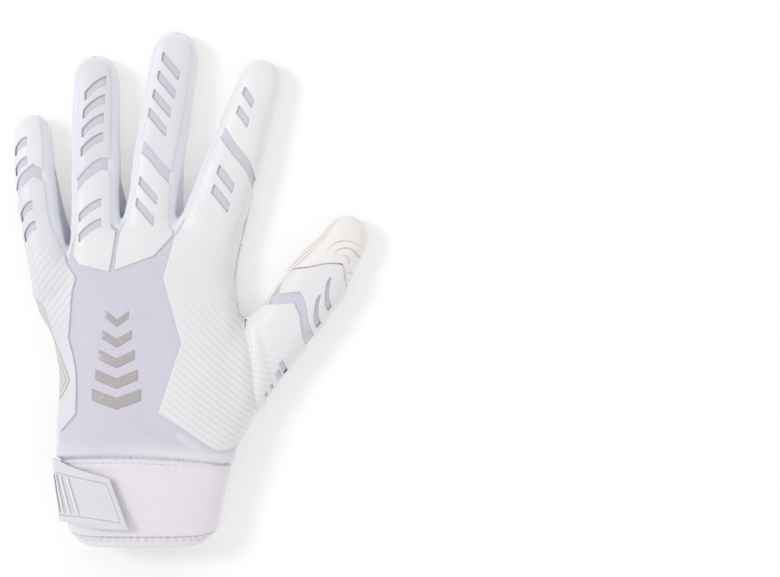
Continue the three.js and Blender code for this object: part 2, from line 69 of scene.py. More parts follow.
# Hand: its sections are rows of shares from the wrist seam to the knuckle arc.
HAND_LENGTH = 110.0
HAND_BREADTH = 94.0
HAND_DEPTH = 26.0
CUFF_LIFT = 2.4
KNUCKLES = {"centre": 0.03, "reach": 0.48, "little": 19.0, "index": 8.0}
HAND_SECTIONS = {
    "along": [0, 0.1, 0.25, 0.45, 0.62, 0.8, 0.93, 1],
    "left": [-0.411, -0.412, -0.412, -0.418, -0.452, -0.52, -0.533, -0.5],
    "right": [0.425, 0.475, 0.5, 0.485, 0.45, 0.428, 0.432, 0.4],
    "height": [1, 1, 1, 0.95, 0.85, 0.74, 0.64, 0.44],
    "lift": [1, 0.3, 0, 0, 0, 0, 0, 0],
}
WAIST = 0.44
TOP_POWER = 2.5
UNDER_POWER = 4.5

# Fingers and thumb: roots are shares of the hand's breadth and length, leans are degrees to the thumb side.
LIMBS = {
    "little": {
        "root": (-0.456, 0.773), "lean": -7.1, "length": 72.0, "width": 18.5, "depth": 15.5, "bow": -4.0,
    },
    "ring": {
        "root": (-0.241, 0.803), "lean": 0.0, "length": 96.0, "width": 22.0, "depth": 15.5, "bow": 0.0,
    },
    "middle": {
        "root": (-0.012, 0.815), "lean": 8.8, "length": 107.0, "width": 22.5, "depth": 15.5, "bow": 0.0,
    },
    "index": {
        "root": (0.268, 0.841), "lean": 19.1, "length": 94.0, "width": 24.0, "depth": 15.5, "bow": 0.0,
    },
    "thumb": {
        "root": (0.374, 0.206), "lean": 36.2, "length": 107.0, "width": 27.5, "depth": 17.5, "bow": 2.0,
    },
}
GIRTH = {
    "along": [0, 0.3, 0.55, 0.72, 0.85],
    "little": [0.95, 0.96, 0.95, 0.93, 0.87],
    "ring": [1.02, 1.01, 0.99, 0.97, 0.94],
    "middle": [1.03, 1.01, 1.01, 0.99, 0.96],
    "index": [1.17, 1.12, 0.98, 0.85, 0.76],
    "thumb": [0.97, 0.96, 0.99, 0.97, 0.76],
    "height": [1.1, 1.02, 0.97, 0.92, 0.84],
}
DOME_START = 0.85
DOME_POWER = 2.3
ROOT_REACH = 0.174

# Films, as shares along and across a finger: `band` is the lower edge of its tip film, and its base film
# starts one band below that. `wrap` closes the index finger's tip film round its left side.
BAND = 5.0
FILM_TABLES = {
    "little": {
        "left": (-1.6, -1.6),
        "right": (0.54, 0.62),
        "end": 1.06,
        "band": [(0.42, -1.6), (0.534, -1.07), (0.617, -0.76), (0.69, 0.04), (0.647, 0.54)],
        "windows": [(0.81, -0.6), (0.684, -0.6)],
    },
    "ring": {
        "left": (-0.75, -0.75),
        "right": (0.7, 0.76),
        "end": 0.982,
        "band": [(0.394, -0.75), (0.456, -0.27), (0.504, 0.32), (0.503, 0.7)],
        "windows": [(0.84, 0.07), (0.752, 0.01), (0.663, -0.03), (0.572, -0.06)],
    },
    "middle": {
        "left": (-0.76, -0.6),
        "right": (0.7, 0.78),
        "end": 0.975,
        "band": [(0.518, -0.76), (0.491, -0.38), (0.446, 0.09), (0.392, 0.7)],
        "windows": [(0.846, -0.02), (0.764, -0.07), (0.682, -0.13), (0.6, -0.19)],
    },
    "index": {
        "left": (-0.78, -0.76),
        "right": (1.6, 1.6),
        "end": 1.06,
        "band": [
            (0.636, -0.78), (0.592, -0.28), (0.548, 0.26), (0.515, 0.64), (0.468, 0.9), (0.43, 1.04),
            (0.38, 1.6),
        ],
        "wrap": [(0.7, -1.35), (0.652, -1.3), (0.645, -0.95)],
        "windows": [(0.806, -0.23), (0.71, -0.15)],
    },
}
# Windows: half their breadth in half widths of the finger, climb over it, bow, and length in millimetres.
WINDOW_FORM = {
    "little": (0.36, 0.066, 0.014, 3.8),
    "ring": (0.46, 0.074, 0.011, 3.8),
    "middle": (0.42, -0.073, 0.0, 3.8),
    "index": (0.34, -0.05, 0.002, 3.7),
    "index_base": (0.37, -0.064, 0.002, 4.1),
    "thumb": (0.28, -0.095, -0.016, 2.9),
    "thumb_edge": (0.16, -0.02, 0.0, 2.6),
    "thumb_hem": (0.1, -0.02, 0.0, 1.6),
}
THUMB_CREASE = [(0.325, -0.97), (0.271, -0.41), (0.181, 0.32), (0.105, 0.81), (0.06, 1.6)]
THUMB_CAP = [
    (0.6, -1.7), (0.628, -1.2), (0.665, -0.86), (0.707, -0.5), (0.78, 0.1),
    (0.805, 0.47), (0.736, 0.97), (0.7, 1.7), (1.15, 1.7), (1.15, -1.7),
]
# The full web between index finger and thumb: its plan, and the middle and half height of its rounded edge.
WEB_PAD = [
    (34, 40), (38, 56), (42.2, 64.4), (44.5, 63.2), (48, 63), (52, 65.2), (56, 66), (60, 60), (54, 44),
    (46, 34),
]
WEB_MIDDLE, WEB_HALF = 7.5, 5.5
# What the palm carries up to the back: the thumb's tip and inner edge, and a patch beside the little finger.
EDGE_TOP = 12.5
THUMB_EDGE = [(0.36, -1.8), (0.39, -0.93), (0.5, -0.86), (0.6, -0.84), (0.72, -0.8), (0.8, -1.8)]
ULNAR_STRIP = [
    (-60, 75), (-49, 74.5), (-45.5, 70), (-43, 66), (-40.5, 58), (-37.5, 51), (-34.8, 45), (-32.2, 39),
    (-31.5, 35.5), (-35.5, 28), (-38.5, 23.5), (-60, 20),
]

# Wrist
CUFF_WIDTH = 78.0
CUFF_DEPTH = 23.0
SLEEVE = 40.0
HEM_CORNER = 5.0
HEM_START = 35.2
HEM_ROWS = (35.6, 36.9)
CORNER_POWER = 8.0
CUFF_SECTIONS = {
    "along": [0, 0.5, 0.84, 1],
    "left": [-0.487, -0.465, -0.435, -0.405],
    "right": [0.512, 0.463, 0.425, 0.395],
    "height": [1, 0.98, 0.94, 0.9],
}


def slot_colour(slot):
    """The record's own colour of a material slot."""
    rows = frame["record"]["materials"]
    return tuple(next(row["base_color"] for row in rows if row["slot"] == slot))


# Sizes and colours a user would change
def length(name, description, default):
    """A length property, given in millimetres and kept in metres."""
    return FloatProperty(
        name=name, description=description, default=default * MM, unit="LENGTH", subtype="DISTANCE"
    )


def colour(name, description, slot):
    """A colour property that starts from the record's colour of a slot."""
    value = slot_colour(slot) if isinstance(slot, str) else slot
    return FloatVectorProperty(
        name=name, description=description, default=value, subtype="COLOR", size=3, min=0, max=1
    )


class GloveSizes(bpy.types.PropertyGroup):
    """Sizes of the glove's walls, films, seams and stitches."""

    cloth: length("Cloth", "Thickness of the knit and of the palm", 1.7)
    film_height: length("Film height", "How far a film stands on the cloth", 0.85)
    film_sink: length("Film sink", "How far a film is pressed into the cloth", 0.3)
    film_edge: length("Film edge", "Rounding of a film's edge", 0.5)
    rib_pitch: length("Rib pitch", "Distance between the ribs of the side panels", 2.7)
    rib_height: length("Rib height", "Height of the ribs of the side panels", 0.2)
    roll_width: length("Seam roll width", "Width of the rolled seam beside a finger", 2.0)
    roll_height: length("Seam roll height", "Height of the rolled seam beside a finger", 0.75)
    stitch: length("Stitch", "Length of one stitch", 2.1)
    thread: length("Thread", "Thickness of the sewing thread", 0.38)
    cloth_grid: length("Cloth grid", "Step of the grid that the cloth is worked out on", 0.8)
    film_grid: length("Film grid", "Step of the grid that the films are worked out on", 0.42)


class GloveColours(bpy.types.PropertyGroup):
    """Colours of the glove's materials."""

    palm: colour("Palm", "Cream of the palm", "palm_print")
    print_line: colour("Palm print", "Taupe lines on the palm", (0.52, 0.46, 0.42))
    back: colour("Back knit", "Knit on the back of the hand", "back_knit")
    side: colour("Side knit", "Strips between the fingers", (0.83, 0.84, 0.9))
    film: colour("Film", "Moulded films", "film")
    neoprene: colour("Neoprene", "Cuff", "neoprene")
    tape: colour("Tape", "Hem, strap and bound edge", "hem_tape")
    rubber: colour("Tab rubber", "Moulded strap tab", (0.7, 0.705, 0.735))
    thread: colour("Thread", "Sewing thread of cuff and hem", (0.62, 0.6, 0.67))
    tack: colour("Tack thread", "Thread of the tacks between the fingers", (0.88, 0.88, 0.92))
    # Painted highlight on the back knit over the wrist seam and along a fold.
    painted_highlight: colour("Painted highlight", "Painted highlight on the back knit over the wrist seam and along a fold", (0.83, 0.82, 0.87))
    # Painted shade on the side strips and webs in the crotches between the fingers.
    crotch_shade: colour("Crotch shade", "Painted shade on the side strips between the fingers", (0.3, 0.29, 0.37))
    piping: colour("Piping", "Cream edge between index finger and thumb", (0.88, 0.86, 0.82))
    # Painted highlight on the tab's beads.
    bead: colour("Tab bead", "Bright lines of the strap tab", (0.93, 0.94, 0.95))
    badge: colour("Badge", "Glitter print on the back", (0.4, 0.37, 0.38))


class GloveStage(bpy.types.PropertyGroup):
    """Camera distance and light strengths."""

    distance: length("Camera distance", "Height of the camera over the floor", 1000.0)
    key: FloatProperty(
        name="Key light", description="Strength of the large soft light", default=44.0, min=0, unit="POWER"
    )
    world: FloatProperty(name="Surround", description="Brightness of the white surround", default=0.8, min=0)


# Curves and tables
def table_curve(table, column):
    """A table's column as a smooth curve: cubic Hermite segments through its rows, with the slope at each row
    taken from its neighbours, sampled evenly for np.interp."""
    along = np.asarray(table["along"], float)
    values = np.asarray(table[column], float)
    slope = np.gradient(values, along)
    at = np.linspace(along[0], along[-1], 241)
    i = np.clip(np.searchsorted(along, at, side="right") - 1, 0, len(along) - 2)
    width = along[i + 1] - along[i]
    t = (at - along[i]) / width
    start = (2 * t**3 - 3 * t**2 + 1) * values[i] + (t**3 - 2 * t**2 + t) * width * slope[i]
    end = (3 * t**2 - 2 * t**3) * values[i + 1] + (t**3 - t**2) * width * slope[i + 1]
    return at, start + end


HAND_CURVES = {column: table_curve(HAND_SECTIONS, column) for column in ("left", "right", "height", "lift")}
GIRTH_CURVES = {column: table_curve(GIRTH, column) for column in GIRTH if column != "along"}
CUFF_CURVES = {column: table_curve(CUFF_SECTIONS, column) for column in ("left", "right", "height")}


def read(curves, column, at):
    """A sampled curve's value at shares `at`, held at its ends."""
    return np.interp(at, *curves[column])


def knuckle_drop(x):
    """How far the knuckle arc stands back at x: a parabola each side of its highest point."""
    share = (x / HAND_BREADTH - KNUCKLES["centre"]) / KNUCKLES["reach"]
    return np.where(share < 0, KNUCKLES["little"], KNUCKLES["index"]) * share**2


def on_hand(rows):
    """Plan points on the hand from rows (along, across): across 1 is the edge, along 1 the knuckle arc."""
    along, across = np.asarray(rows, float).T
    left = read(HAND_CURVES, "left", along) * HAND_BREADTH
    right = read(HAND_CURVES, "right", along) * HAND_BREADTH
    x = (left + right) / 2 + across * (right - left) / 2
    return np.stack([x, along * (HAND_LENGTH - knuckle_drop(x))], 1)


def on_limb(name, rows):
    """Plan points on a finger from rows (along, across): its bowed axis plus across half widths sideways."""
    limb = LIMBS[name]
    along, across = np.asarray(rows, float).T
    lean = math.radians(limb["lean"])
    ahead = np.array([math.sin(lean), math.cos(lean)])
    side = np.array([math.cos(lean), -math.sin(lean)])
    root = np.array(limb["root"]) * (HAND_BREADTH, HAND_LENGTH)
    bow = limb["bow"] * 2
    axis = root + np.outer(along * limb["length"], ahead) + np.outer(bow * along * (1 - along), side)
    tangent = limb["length"] * ahead + np.outer(bow * (1 - 2 * along), side)
    tangent /= np.linalg.norm(tangent, axis=1, keepdims=True)
    normal = np.stack([tangent[:, 1], -tangent[:, 0]], 1)
    half = read(GIRTH_CURVES, name, along) * limb["width"] / 2
    return axis + normal * (across * half)[:, None]


def smooth_outline(points, corner=38.0, count=10, closed=True):
    """A curve through plan points: cubic Hermite segments whose slope at a point is the mean of its two
    edges' directions, or the edge's own where the outline turns by more than `corner` degrees."""
    p = np.asarray(points, float)
    after = np.roll(p, -1, 0) - p
    before = p - np.roll(p, 1, 0)
    if not closed:
        after[-1], before[0] = before[-1], after[0]
    long_after = np.linalg.norm(after, axis=1, keepdims=True)
    long_before = np.linalg.norm(before, axis=1, keepdims=True)
    after, before = after / long_after, before / long_before
    turn = np.degrees(np.arccos(np.clip((after * before).sum(1), -1, 1)))
    mean = after * long_before + before * long_after
    mean /= np.linalg.norm(mean, axis=1, keepdims=True)
    sharp = (turn > corner)[:, None]
    leave = np.where(sharp, after, mean) * long_after
    arrive = np.roll(np.where(sharp, before, mean), -1, 0) * long_after
    t = (np.arange(count) / count)[None, :, None]
    here, there = p[:, None], np.roll(p, -1, 0)[:, None]
    made = (2 * t**3 - 3 * t**2 + 1) * here + (3 * t**2 - 2 * t**3) * there
    made += (t**3 - 2 * t**2 + t) * leave[:, None] + (t**3 - t**2) * arrive[:, None]
    if closed:
        return made.reshape(-1, 2)
    return np.vstack([made[:-1].reshape(-1, 2), p[-1:]])


def even_path(points, step):
    """A path resampled at even steps of its own length."""
    p = np.asarray(points, float)
    run = np.concatenate([[0], np.cumsum(np.linalg.norm(np.diff(p, axis=0), axis=1))])
    at = np.linspace(0, run[-1], max(3, int(round(run[-1] / step)) + 1))
    return np.stack([np.interp(at, run, column) for column in p.T], 1)


class PlanMap:
    """Values over the plan on an even grid, read between its points by bilinear interpolation."""

    def __init__(self, low, high, pitch):
        self.low, self.pitch = np.asarray(low, float), pitch
        counts = np.ceil((np.asarray(high) - self.low) / pitch).astype(int) + 1
        steps = [a + pitch * np.arange(n) for a, n in zip(self.low, counts)]
        self.x, self.y = np.meshgrid(*steps, indexing="ij")
        self.values = np.zeros(self.x.shape)

    def __call__(self, x, y):
        u = np.clip((x - self.low[0]) / self.pitch, 0, self.values.shape[0] - 1.001)
        v = np.clip((y - self.low[1]) / self.pitch, 0, self.values.shape[1] - 1.001)
        i, j = u.astype(np.int32), v.astype(np.int32)
        u, v = u - i, v - j
        a, b = self.values[i, j], self.values[i + 1, j]
        c, d = self.values[i, j + 1], self.values[i + 1, j + 1]
        return (a * (1 - u) + b * u) * (1 - v) + (c * (1 - u) + d * u) * v


def line_distance(x, y, path, closed=False):
    """Distance in plan to a path: the least distance to any of its edges."""
    p = np.asarray(path, float)
    ends = np.roll(p, -1, 0) if closed else p[1:]
    best = np.full(x.shape, 1e9)
    for (ax, ay), (bx, by) in zip(p, ends):
        ex, ey = bx - ax, by - ay
        t = np.clip(((x - ax) * ex + (y - ay) * ey) / (ex * ex + ey * ey + 1e-9), 0, 1)
        best = np.minimum(best, (x - ax - t * ex) ** 2 + (y - ay - t * ey) ** 2)
    return np.sqrt(best)


def outline_distance(x, y, outline):
    """Signed distance in plan to a closed outline, negative inside: the sign counts the edges that a ray
    towards +X crosses."""
    p = np.asarray(outline, float)
    inside = np.zeros(x.shape, bool)
    for (ax, ay), (bx, by) in zip(p, np.roll(p, -1, 0)):
        crosses = (ay > y) != (by > y)
        inside ^= crosses & (x < (bx - ax) * (y - ay) / (by - ay + 1e-12) + ax)
    return line_distance(x, y, p, closed=True) * np.where(inside, -1, 1)


def plan_region(outline, pitch=0.4, margin=4.0):
    """A plan map of the signed distance to a closed outline."""
    p = np.asarray(outline, float)
    made = PlanMap(p.min(0) - margin, p.max(0) + margin, pitch)
    made.values = outline_distance(made.x, made.y, p)
    return made


# The glove's form
def blend_min(a, b, reach):
    """The lesser of two values, rounded where they come within `reach` of each other."""
    share = np.clip(0.5 + 0.5 * (b - a) / reach, 0, 1)
    return b + (a - b) * share - reach * share * (1 - share)


def blend_max(a, b, reach):
    """The greater of two values, rounded where they come within `reach` of each other."""
    return -blend_min(-a, -b, reach)


def section_value(across, up, half, height):
    """Value q and slope of a soft section: q^n = |across/half|^n + |up from waist/reach|^n, with n 2.5 above
    the waist and 4.5 below it, so that q is 1 on the section."""
    waist = WAIST * height
    over = up > waist
    reach = np.where(over, height - waist, waist)
    power = np.where(over, TOP_POWER, UNDER_POWER)
    a = np.abs(across) / half + 1e-6
    b = np.abs(up - waist) / reach + 1e-6
    an, bn = a**power, b**power
    total = an + bn
    q = total ** (1 / power)
    return q, q / total * np.hypot(an / (a * half), bn / (b * reach))


def hand_value(x, y, z):
    """Signed distance, roughly, from the hand: (q - 1) / slope of its section, closed at the knuckle arc."""
    reach = HAND_LENGTH - knuckle_drop(x)
    along = np.clip(y / reach, 0, 1)
    left = read(HAND_CURVES, "left", along) * HAND_BREADTH
    right = read(HAND_CURVES, "right", along) * HAND_BREADTH
    lift = read(HAND_CURVES, "lift", along) * CUFF_LIFT
    height = read(HAND_CURVES, "height", along) * (HAND_DEPTH - lift)
    q, slope = section_value(x - (left + right) / 2, z - lift, (right - left) / 2, height)
    return blend_max((q - 1) / slope, y - reach, 6.0)


def limb_value(name, x, y, z):
    """Signed distance, roughly, from a finger: q of its section, and the run past its dome's or its root's
    start as a share of their reach, are joined as a power mean, and the value is (q - 1) / slope."""
    limb = LIMBS[name]
    lean = math.radians(limb["lean"])
    dx, dy = x - limb["root"][0] * HAND_BREADTH, y - limb["root"][1] * HAND_LENGTH
    run = dx * math.sin(lean) + dy * math.cos(lean)
    along = run / limb["length"]
    across = dx * math.cos(lean) - dy * math.sin(lean)
    near = (np.abs(across) < limb["width"] * 0.5 + FAR + 4) & (along > -0.35) & (along < 1.2)
    value = np.full(x.shape, FAR)
    along, across, run, up = along[near], across[near], run[near], z[near]
    inner = np.clip(along, 0, 1)
    across = across - limb["bow"] * 2 * inner * (1 - inner)
    half = read(GIRTH_CURVES, name, along) * limb["width"] / 2
    height = read(GIRTH_CURVES, "height", along) * limb["depth"]
    q, slope = section_value(across, up, half, height)
    dome = (1 - DOME_START) * limb["length"]
    root = ROOT_REACH * limb["length"]
    reach = np.where(along > DOME_START, dome, root)
    end = np.maximum(np.where(along > DOME_START, run - DOME_START * limb["length"], -run), 1e-6) / reach
    both = (q**DOME_POWER + end**DOME_POWER) ** (1 / DOME_POWER)
    power = DOME_POWER - 1
    slope = both ** (1 - DOME_POWER) * np.hypot(q**power * slope, end**power / reach)
    value[near] = np.minimum((both - 1) / slope, FAR)
    return value


def limb_shares(name, x, y):
    """Plan points as shares (along, across) of a finger: the reverse of on_limb but for the tilt of its
    bow."""
    limb = LIMBS[name]
    lean = math.radians(limb["lean"])
    dx, dy = x - limb["root"][0] * HAND_BREADTH, y - limb["root"][1] * HAND_LENGTH
    along = (dx * math.sin(lean) + dy * math.cos(lean)) / limb["length"]
    inner = np.clip(along, 0, 1)
    across = dx * math.cos(lean) - dy * math.sin(lean) - limb["bow"] * 2 * inner * (1 - inner)
    return along, across / (read(GIRTH_CURVES, name, along) * limb["width"] / 2)


def bell(value, width):
    """exp(-(value / width)^2)."""
    return np.exp(-((value / width) ** 2))


PLAN_ROOM = ((-65, -8), (110, 165))


def relief_map():
    """Low folds of the cloth over the plan, in millimetres outwards: each is a bell of the distance to a
    line, and a few crossed waves keep the cloth from being even."""
    made = PlanMap(*PLAN_ROOM, 0.6)
    x, y = made.x, made.y

    def fold(path, height, width):
        return height * bell(line_distance(x, y, path), width)

    above = y - seam_arc(x)
    crest = (above - 2.6) / np.where(above > 2.6, 3.4, 1.3)
    relief = 1.4 * bell(crest, 1.0) - 0.9 * bell(above, 1.1)
    crease = smooth_outline(on_limb("thumb", [(0.36, -1.4), *THUMB_CREASE[:4]]), closed=False)
    relief += fold(crease, -1.1, 1.5) + fold(crease + (4.5, -1.0), 0.5, 2.6)
    relief += fold(crease - (5.0, 0.5), 0.45, 3.4)
    relief += fold(crease + (9.5, -7.0), -0.35, 2.0)
    relief += fold([(8, 19), (16, 12), (26, 8)], 0.6, 2.4) + fold([(6, 13), (15, 7.5), (24, 5.5)], -0.5, 1.7)
    relief += fold([(-6, 18), (4, 10), (12, 6)], 0.3, 3.2) + fold([(-37, 16), (-28, 8), (-20, 5)], 0.35, 2.6)
    relief += fold(on_hand([(0.62, -0.72), (0.45, -0.72), (0.28, -0.74), (0.16, -0.8)]), -0.35, 2.6)
    for name, limb in LIMBS.items():
        for at, height in ((0.33, -0.32), (0.47, 0.22), (0.62, -0.28), (0.76, 0.2)):
            relief += fold(on_limb(name, [(at - 0.012, -1), (at + 0.012, 1)]), height, 0.055 * limb["length"])
    relief += 0.12 * np.sin(x / 5.1 + 0.6 * np.sin(y / 9.0)) * np.sin(y / 6.3 + 1.1)
    relief += 0.08 * np.sin(x / 2.9 - y / 7.7 + 2.0) * np.sin(y / 3.7 + x / 8.3)
    made.values = relief
    return made


def palm_relief_map():
    """Creases of the underside over the plan, in millimetres outwards: bells of the distance to each line."""
    made = PlanMap(*PLAN_ROOM, 0.6)
    x, y = made.x, made.y
    relief = np.zeros(x.shape)
    for name in LIMBS:
        for at in (0.08, 0.36, 0.64):
            line = on_limb(name, [(at - 0.01, -1), (at + 0.015, 0), (at - 0.01, 1)])
            relief -= 0.55 * bell(line_distance(x, y, line), 0.9)
    lines = [
        [(38, 62), (24, 58), (6, 44), (-2, 22), (-3, 4)],
        [(-46, 66), (-22, 70), (2, 80), (14, 88)],
        [(36, 66), (14, 66), (-12, 54), (-32, 40)],
    ]
    for line in lines:
        path = smooth_outline(line, closed=False)
        relief -= 0.6 * bell(line_distance(x, y, path), 1.3)
    made.values = relief + 0.1 * np.sin(x / 6.2 + 1.3) * np.sin(y / 7.1)
    return made


def seam_arc(x):
    """How far the wrist seam lies from a straight line at x: it drops towards both edges."""
    return -3.6 * np.clip((x + 10) / 46, -1, 1) ** 2 + 0.3


RELIEF = relief_map()
PALM_RELIEF = palm_relief_map()
PAD = plan_region(smooth_outline(WEB_PAD), 0.5, 12.0)


def web_value(x, y, z):
    """Signed distance, roughly, from the web's pillow: WEB_HALF * (hypot(how far past its inner line, height
    off its middle) - 1), both as shares of WEB_HALF."""
    past = np.maximum(PAD(x, y) / WEB_HALF + 1, 0)
    return WEB_HALF * (np.hypot(past, (z - WEB_MIDDLE) / WEB_HALF) - 1)


def glove_value(x, y, z):
    """Signed distance, roughly, from the glove's outer face: hand, fingers and web joined with rounded
    minima, less the folds, which fade from the upper to the under side."""
    fingers = limb_value("little", x, y, z)
    for name in ("ring", "middle", "index"):
        fingers = blend_min(fingers, limb_value(name, x, y, z), 1.2)
    value = blend_min(hand_value(x, y, z), fingers, 4.0)
    value = blend_min(value, limb_value("thumb", x, y, z), 5.0)
    value = blend_min(value, web_value(x, y, z), 4.0)
    upper = np.clip((z - 5.0) / 5.0, 0, 1)
    return value - RELIEF(x, y) * upper - PALM_RELIEF(x, y) * (1 - upper)


def slope_of(field, p, h=0.05):
    """Slope of a field at points, by central differences."""
    x, y, z = p.T
    return np.stack(
        [
            field(x + h, y, z) - field(x - h, y, z),
            field(x, y + h, z) - field(x, y - h, z),
            field(x, y, z + h) - field(x, y, z - h),
        ],
        1,
    ) / (2 * h)


def level_surface(field, low, high, pitch):
    """The closed surface where a field is zero, as points and four-sided faces that point outwards.
    One point stands in each grid cell that the surface passes, at the mean of its crossings of the cell's
    edges, and one face round each crossed edge. Newton steps down the slope then put each point on zero."""
    axes = [np.arange(a, b + pitch, pitch) for a, b in zip(low, high)]
    shape = [len(a) for a in axes]
    grid = np.meshgrid(*axes, indexing="ij")
    values = field(*(g.ravel() for g in grid)).reshape(shape)
    strides = np.array([shape[1] * shape[2], shape[2], 1])
    rings, spots = [], []
    for axis in range(3):
        inner = [slice(1, -1)] * 3
        here, there = list(inner), list(inner)
        here[axis], there[axis] = slice(None, -1), slice(1, None)
        a, b = values[tuple(here)], values[tuple(there)]
        found = np.argwhere((a < 0) != (b < 0))
        va, vb = a[tuple(found.T)], b[tuple(found.T)]
        corner = found + np.array([0 if d == axis else 1 for d in range(3)])
        spot = corner.astype(float)
        spot[:, axis] += va / (va - vb)
        u, v = strides[(axis + 1) % 3], strides[(axis + 2) % 3]
        ring = (corner @ strides)[:, None] + np.array([0, -u, -u - v, -v])
        ring[va > 0] = ring[va > 0][:, ::-1]
        rings.append(ring)
        spots.append(spot)
    rings, spots = np.vstack(rings), np.vstack(spots)
    faces = np.unique(rings.ravel(), return_inverse=True)[1].reshape(-1)
    count = np.bincount(faces)
    points = np.stack([np.bincount(faces, np.repeat(spots[:, d], 4)) / count for d in range(3)], 1)
    points = np.asarray(low) + points * pitch
    for _ in range(3):
        slope = slope_of(field, points)
        square = np.maximum((slope**2).sum(1), 0.15)
        step = (field(*points.T) / square)[:, None] * slope
        size = np.linalg.norm(step, axis=1, keepdims=True)
        points -= step * np.minimum(1, 0.5 * pitch / np.maximum(size, 1e-9))
    return points, faces.reshape(-1, 4)


def on_face(field, plan, lift=0.0):
    """Plan points put on a field's upper face, `lift` above it, by walking down from above, with the face's
    slope as unit normals."""
    x, y = np.asarray(plan, float).T
    z = np.full(x.shape, 40.0)
    for _ in range(60):
        z -= np.where(z > 6, 0.8 * (field(x, y, z) - lift), 0)
    points = np.stack([x, y, z], 1)
    normal = slope_of(field, points)
    return points, normal / np.linalg.norm(normal, axis=1, keepdims=True)


# Meshes
def make_piece(name, points, faces, material, slot, replaces=(), layers=None):
    """A mesh object from points in millimetres and a list of face arrays, each of one width, with a point
    attribute for each layer. It rides on the root body and takes the place of the CAD nodes it names."""
    faces = [np.asarray(f, np.int32) for f in (faces if isinstance(faces, list) else [faces])]
    loops = np.concatenate([f.ravel() for f in faces])
    widths = np.concatenate([np.full(len(f), f.shape[1]) for f in faces])
    starts = np.concatenate([[0], np.cumsum(widths)[:-1]])
    mesh = bpy.data.meshes.new(name)
    mesh.vertices.add(len(points))
    mesh.vertices.foreach_set("co", ((points + SEAM) * MM).astype(np.float32).ravel())
    mesh.loops.add(len(loops))
    mesh.loops.foreach_set("vertex_index", loops.astype(np.int32))
    mesh.polygons.add(len(widths))
    mesh.polygons.foreach_set("loop_start", starts.astype(np.int32))
    mesh.polygons.foreach_set("use_smooth", np.ones(len(widths), bool))
    mesh.update(calc_edges=True)
    for key, values in (layers or {}).items():
        mesh.attributes.new(key, "FLOAT", "POINT").data.foreach_set("value", values.astype(np.float32))
    mesh.materials.append(material)
    piece = bpy.data.objects.new(name, mesh)
    bpy.context.scene.collection.objects.link(piece)
    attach(piece, "root")
    if replaces:
        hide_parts(*replaces)
    return piece


def grid_faces(rows, columns, close_rows=False, close_columns=False):
    """Four-sided faces of a grid whose point (r, c) has index r * columns + c."""
    r = np.arange(rows if close_rows else rows - 1)
    c = np.arange(columns if close_columns else columns - 1)
    r, c = (a.ravel() for a in np.meshgrid(r, c, indexing="ij"))
    r2, c2 = (r + 1) % rows, (c + 1) % columns
    return np.stack([r * columns + c, r * columns + c2, r2 * columns + c2, r2 * columns + c], 1)


def sweep(path, normal, profile, scale=None):
    """A profile carried along a path: point (i, j) = path_i + scale_i * (across_j * side_i + up_j *
    normal_i), with side = tangent x normal, and a flat face over each end."""
    tangent = np.gradient(path, axis=0)
    tangent /= np.linalg.norm(tangent, axis=1, keepdims=True)
    side = np.cross(tangent, normal)
    side /= np.linalg.norm(side, axis=1, keepdims=True)
    scale = np.ones(len(path)) if scale is None else scale
    across, up = np.asarray(profile, float).T
    offset = side[:, None] * across[None, :, None] + normal[:, None] * up[None, :, None]
    points = (path[:, None] + offset * scale[:, None, None]).reshape(-1, 3)
    n, m = len(path), len(profile)
    ends = [np.arange(m)[None], (np.arange(m)[::-1] + (n - 1) * m)[None]]
    return points, [grid_faces(n, m, close_columns=True)[:, ::-1], *ends]


def join(parts):
    """Several (points, faces) as one."""
    points, faces, start = [], [], 0
    for p, fs in parts:
        points.append(p)
        faces += [f + start for f in (fs if isinstance(fs, list) else [fs])]
        start += len(p)
    return np.vstack(points), faces


def roll_profile(width, height, sink, count=12):
    """A seam roll's section: half an ellipse on top, its foot sunk into the cloth."""
    turn = np.linspace(0, math.pi, count)
    top = np.stack([np.cos(turn) * width / 2, np.sin(turn) ** 0.8 * height], 1)
    foot = [(-width / 2 * 0.8, -sink), (width / 2 * 0.8, -sink)]
    return np.vstack([top, foot])[::-1]


def tapered(count, reach=6):
    """Scales along a path that fall to a point over its first and last few steps."""
    i = np.arange(count)
    share = np.clip(np.minimum(i, count - 1 - i) / reach, 0, 1)
    return 0.12 + 0.88 * np.sqrt(1 - (1 - share) ** 2)


def stitches(path, normal, size, thread, gap=0.55, proud=0.5):
    """A row of stitches along a path: each is a small capsule, a ring of six points carried along its length
    with scales 0.35, 1, 1 and 0.35, and sunk by half its thickness."""
    run = np.concatenate([[0], np.cumsum(np.linalg.norm(np.diff(path, axis=0), axis=1))])
    count = max(1, int(run[-1] // (size * (1 + gap))))
    start = (np.arange(count) + 0.5 * gap) * run[-1] / count
    shares = np.array([0, 0.16, 0.84, 1])
    at = start[:, None] + shares * size
    centre = np.stack([np.interp(at, run, c) for c in path.T], -1)
    up = np.stack([np.interp(at, run, c) for c in normal.T], -1)
    up /= np.linalg.norm(up, axis=-1, keepdims=True)
    ahead = centre[:, -1:] - centre[:, :1]
    ahead /= np.linalg.norm(ahead, axis=-1, keepdims=True)
    side = np.cross(np.broadcast_to(ahead, up.shape), up)
    turn = np.arange(6) * math.pi / 3
    radius = thread / 2 * np.array([0.35, 1, 1, 0.35])
    lift = thread * (proud - 0.5) - thread * np.array([0.45, 0, 0, 0.45])
    ring = side[:, :, None] * np.cos(turn)[:, None] + up[:, :, None] * np.sin(turn)[:, None]
    points = centre[:, :, None] + up[:, :, None] * lift[:, None, None] + ring * radius[:, None, None]
    one = [grid_faces(4, 6, close_columns=True), np.arange(6)[None, ::-1], (np.arange(6) + 18)[None]]
    shift = (np.arange(count) * 24)[:, None, None]
    return points.reshape(-1, 3), [(f[None] + shift).reshape(-1, f.shape[1]) for f in one]


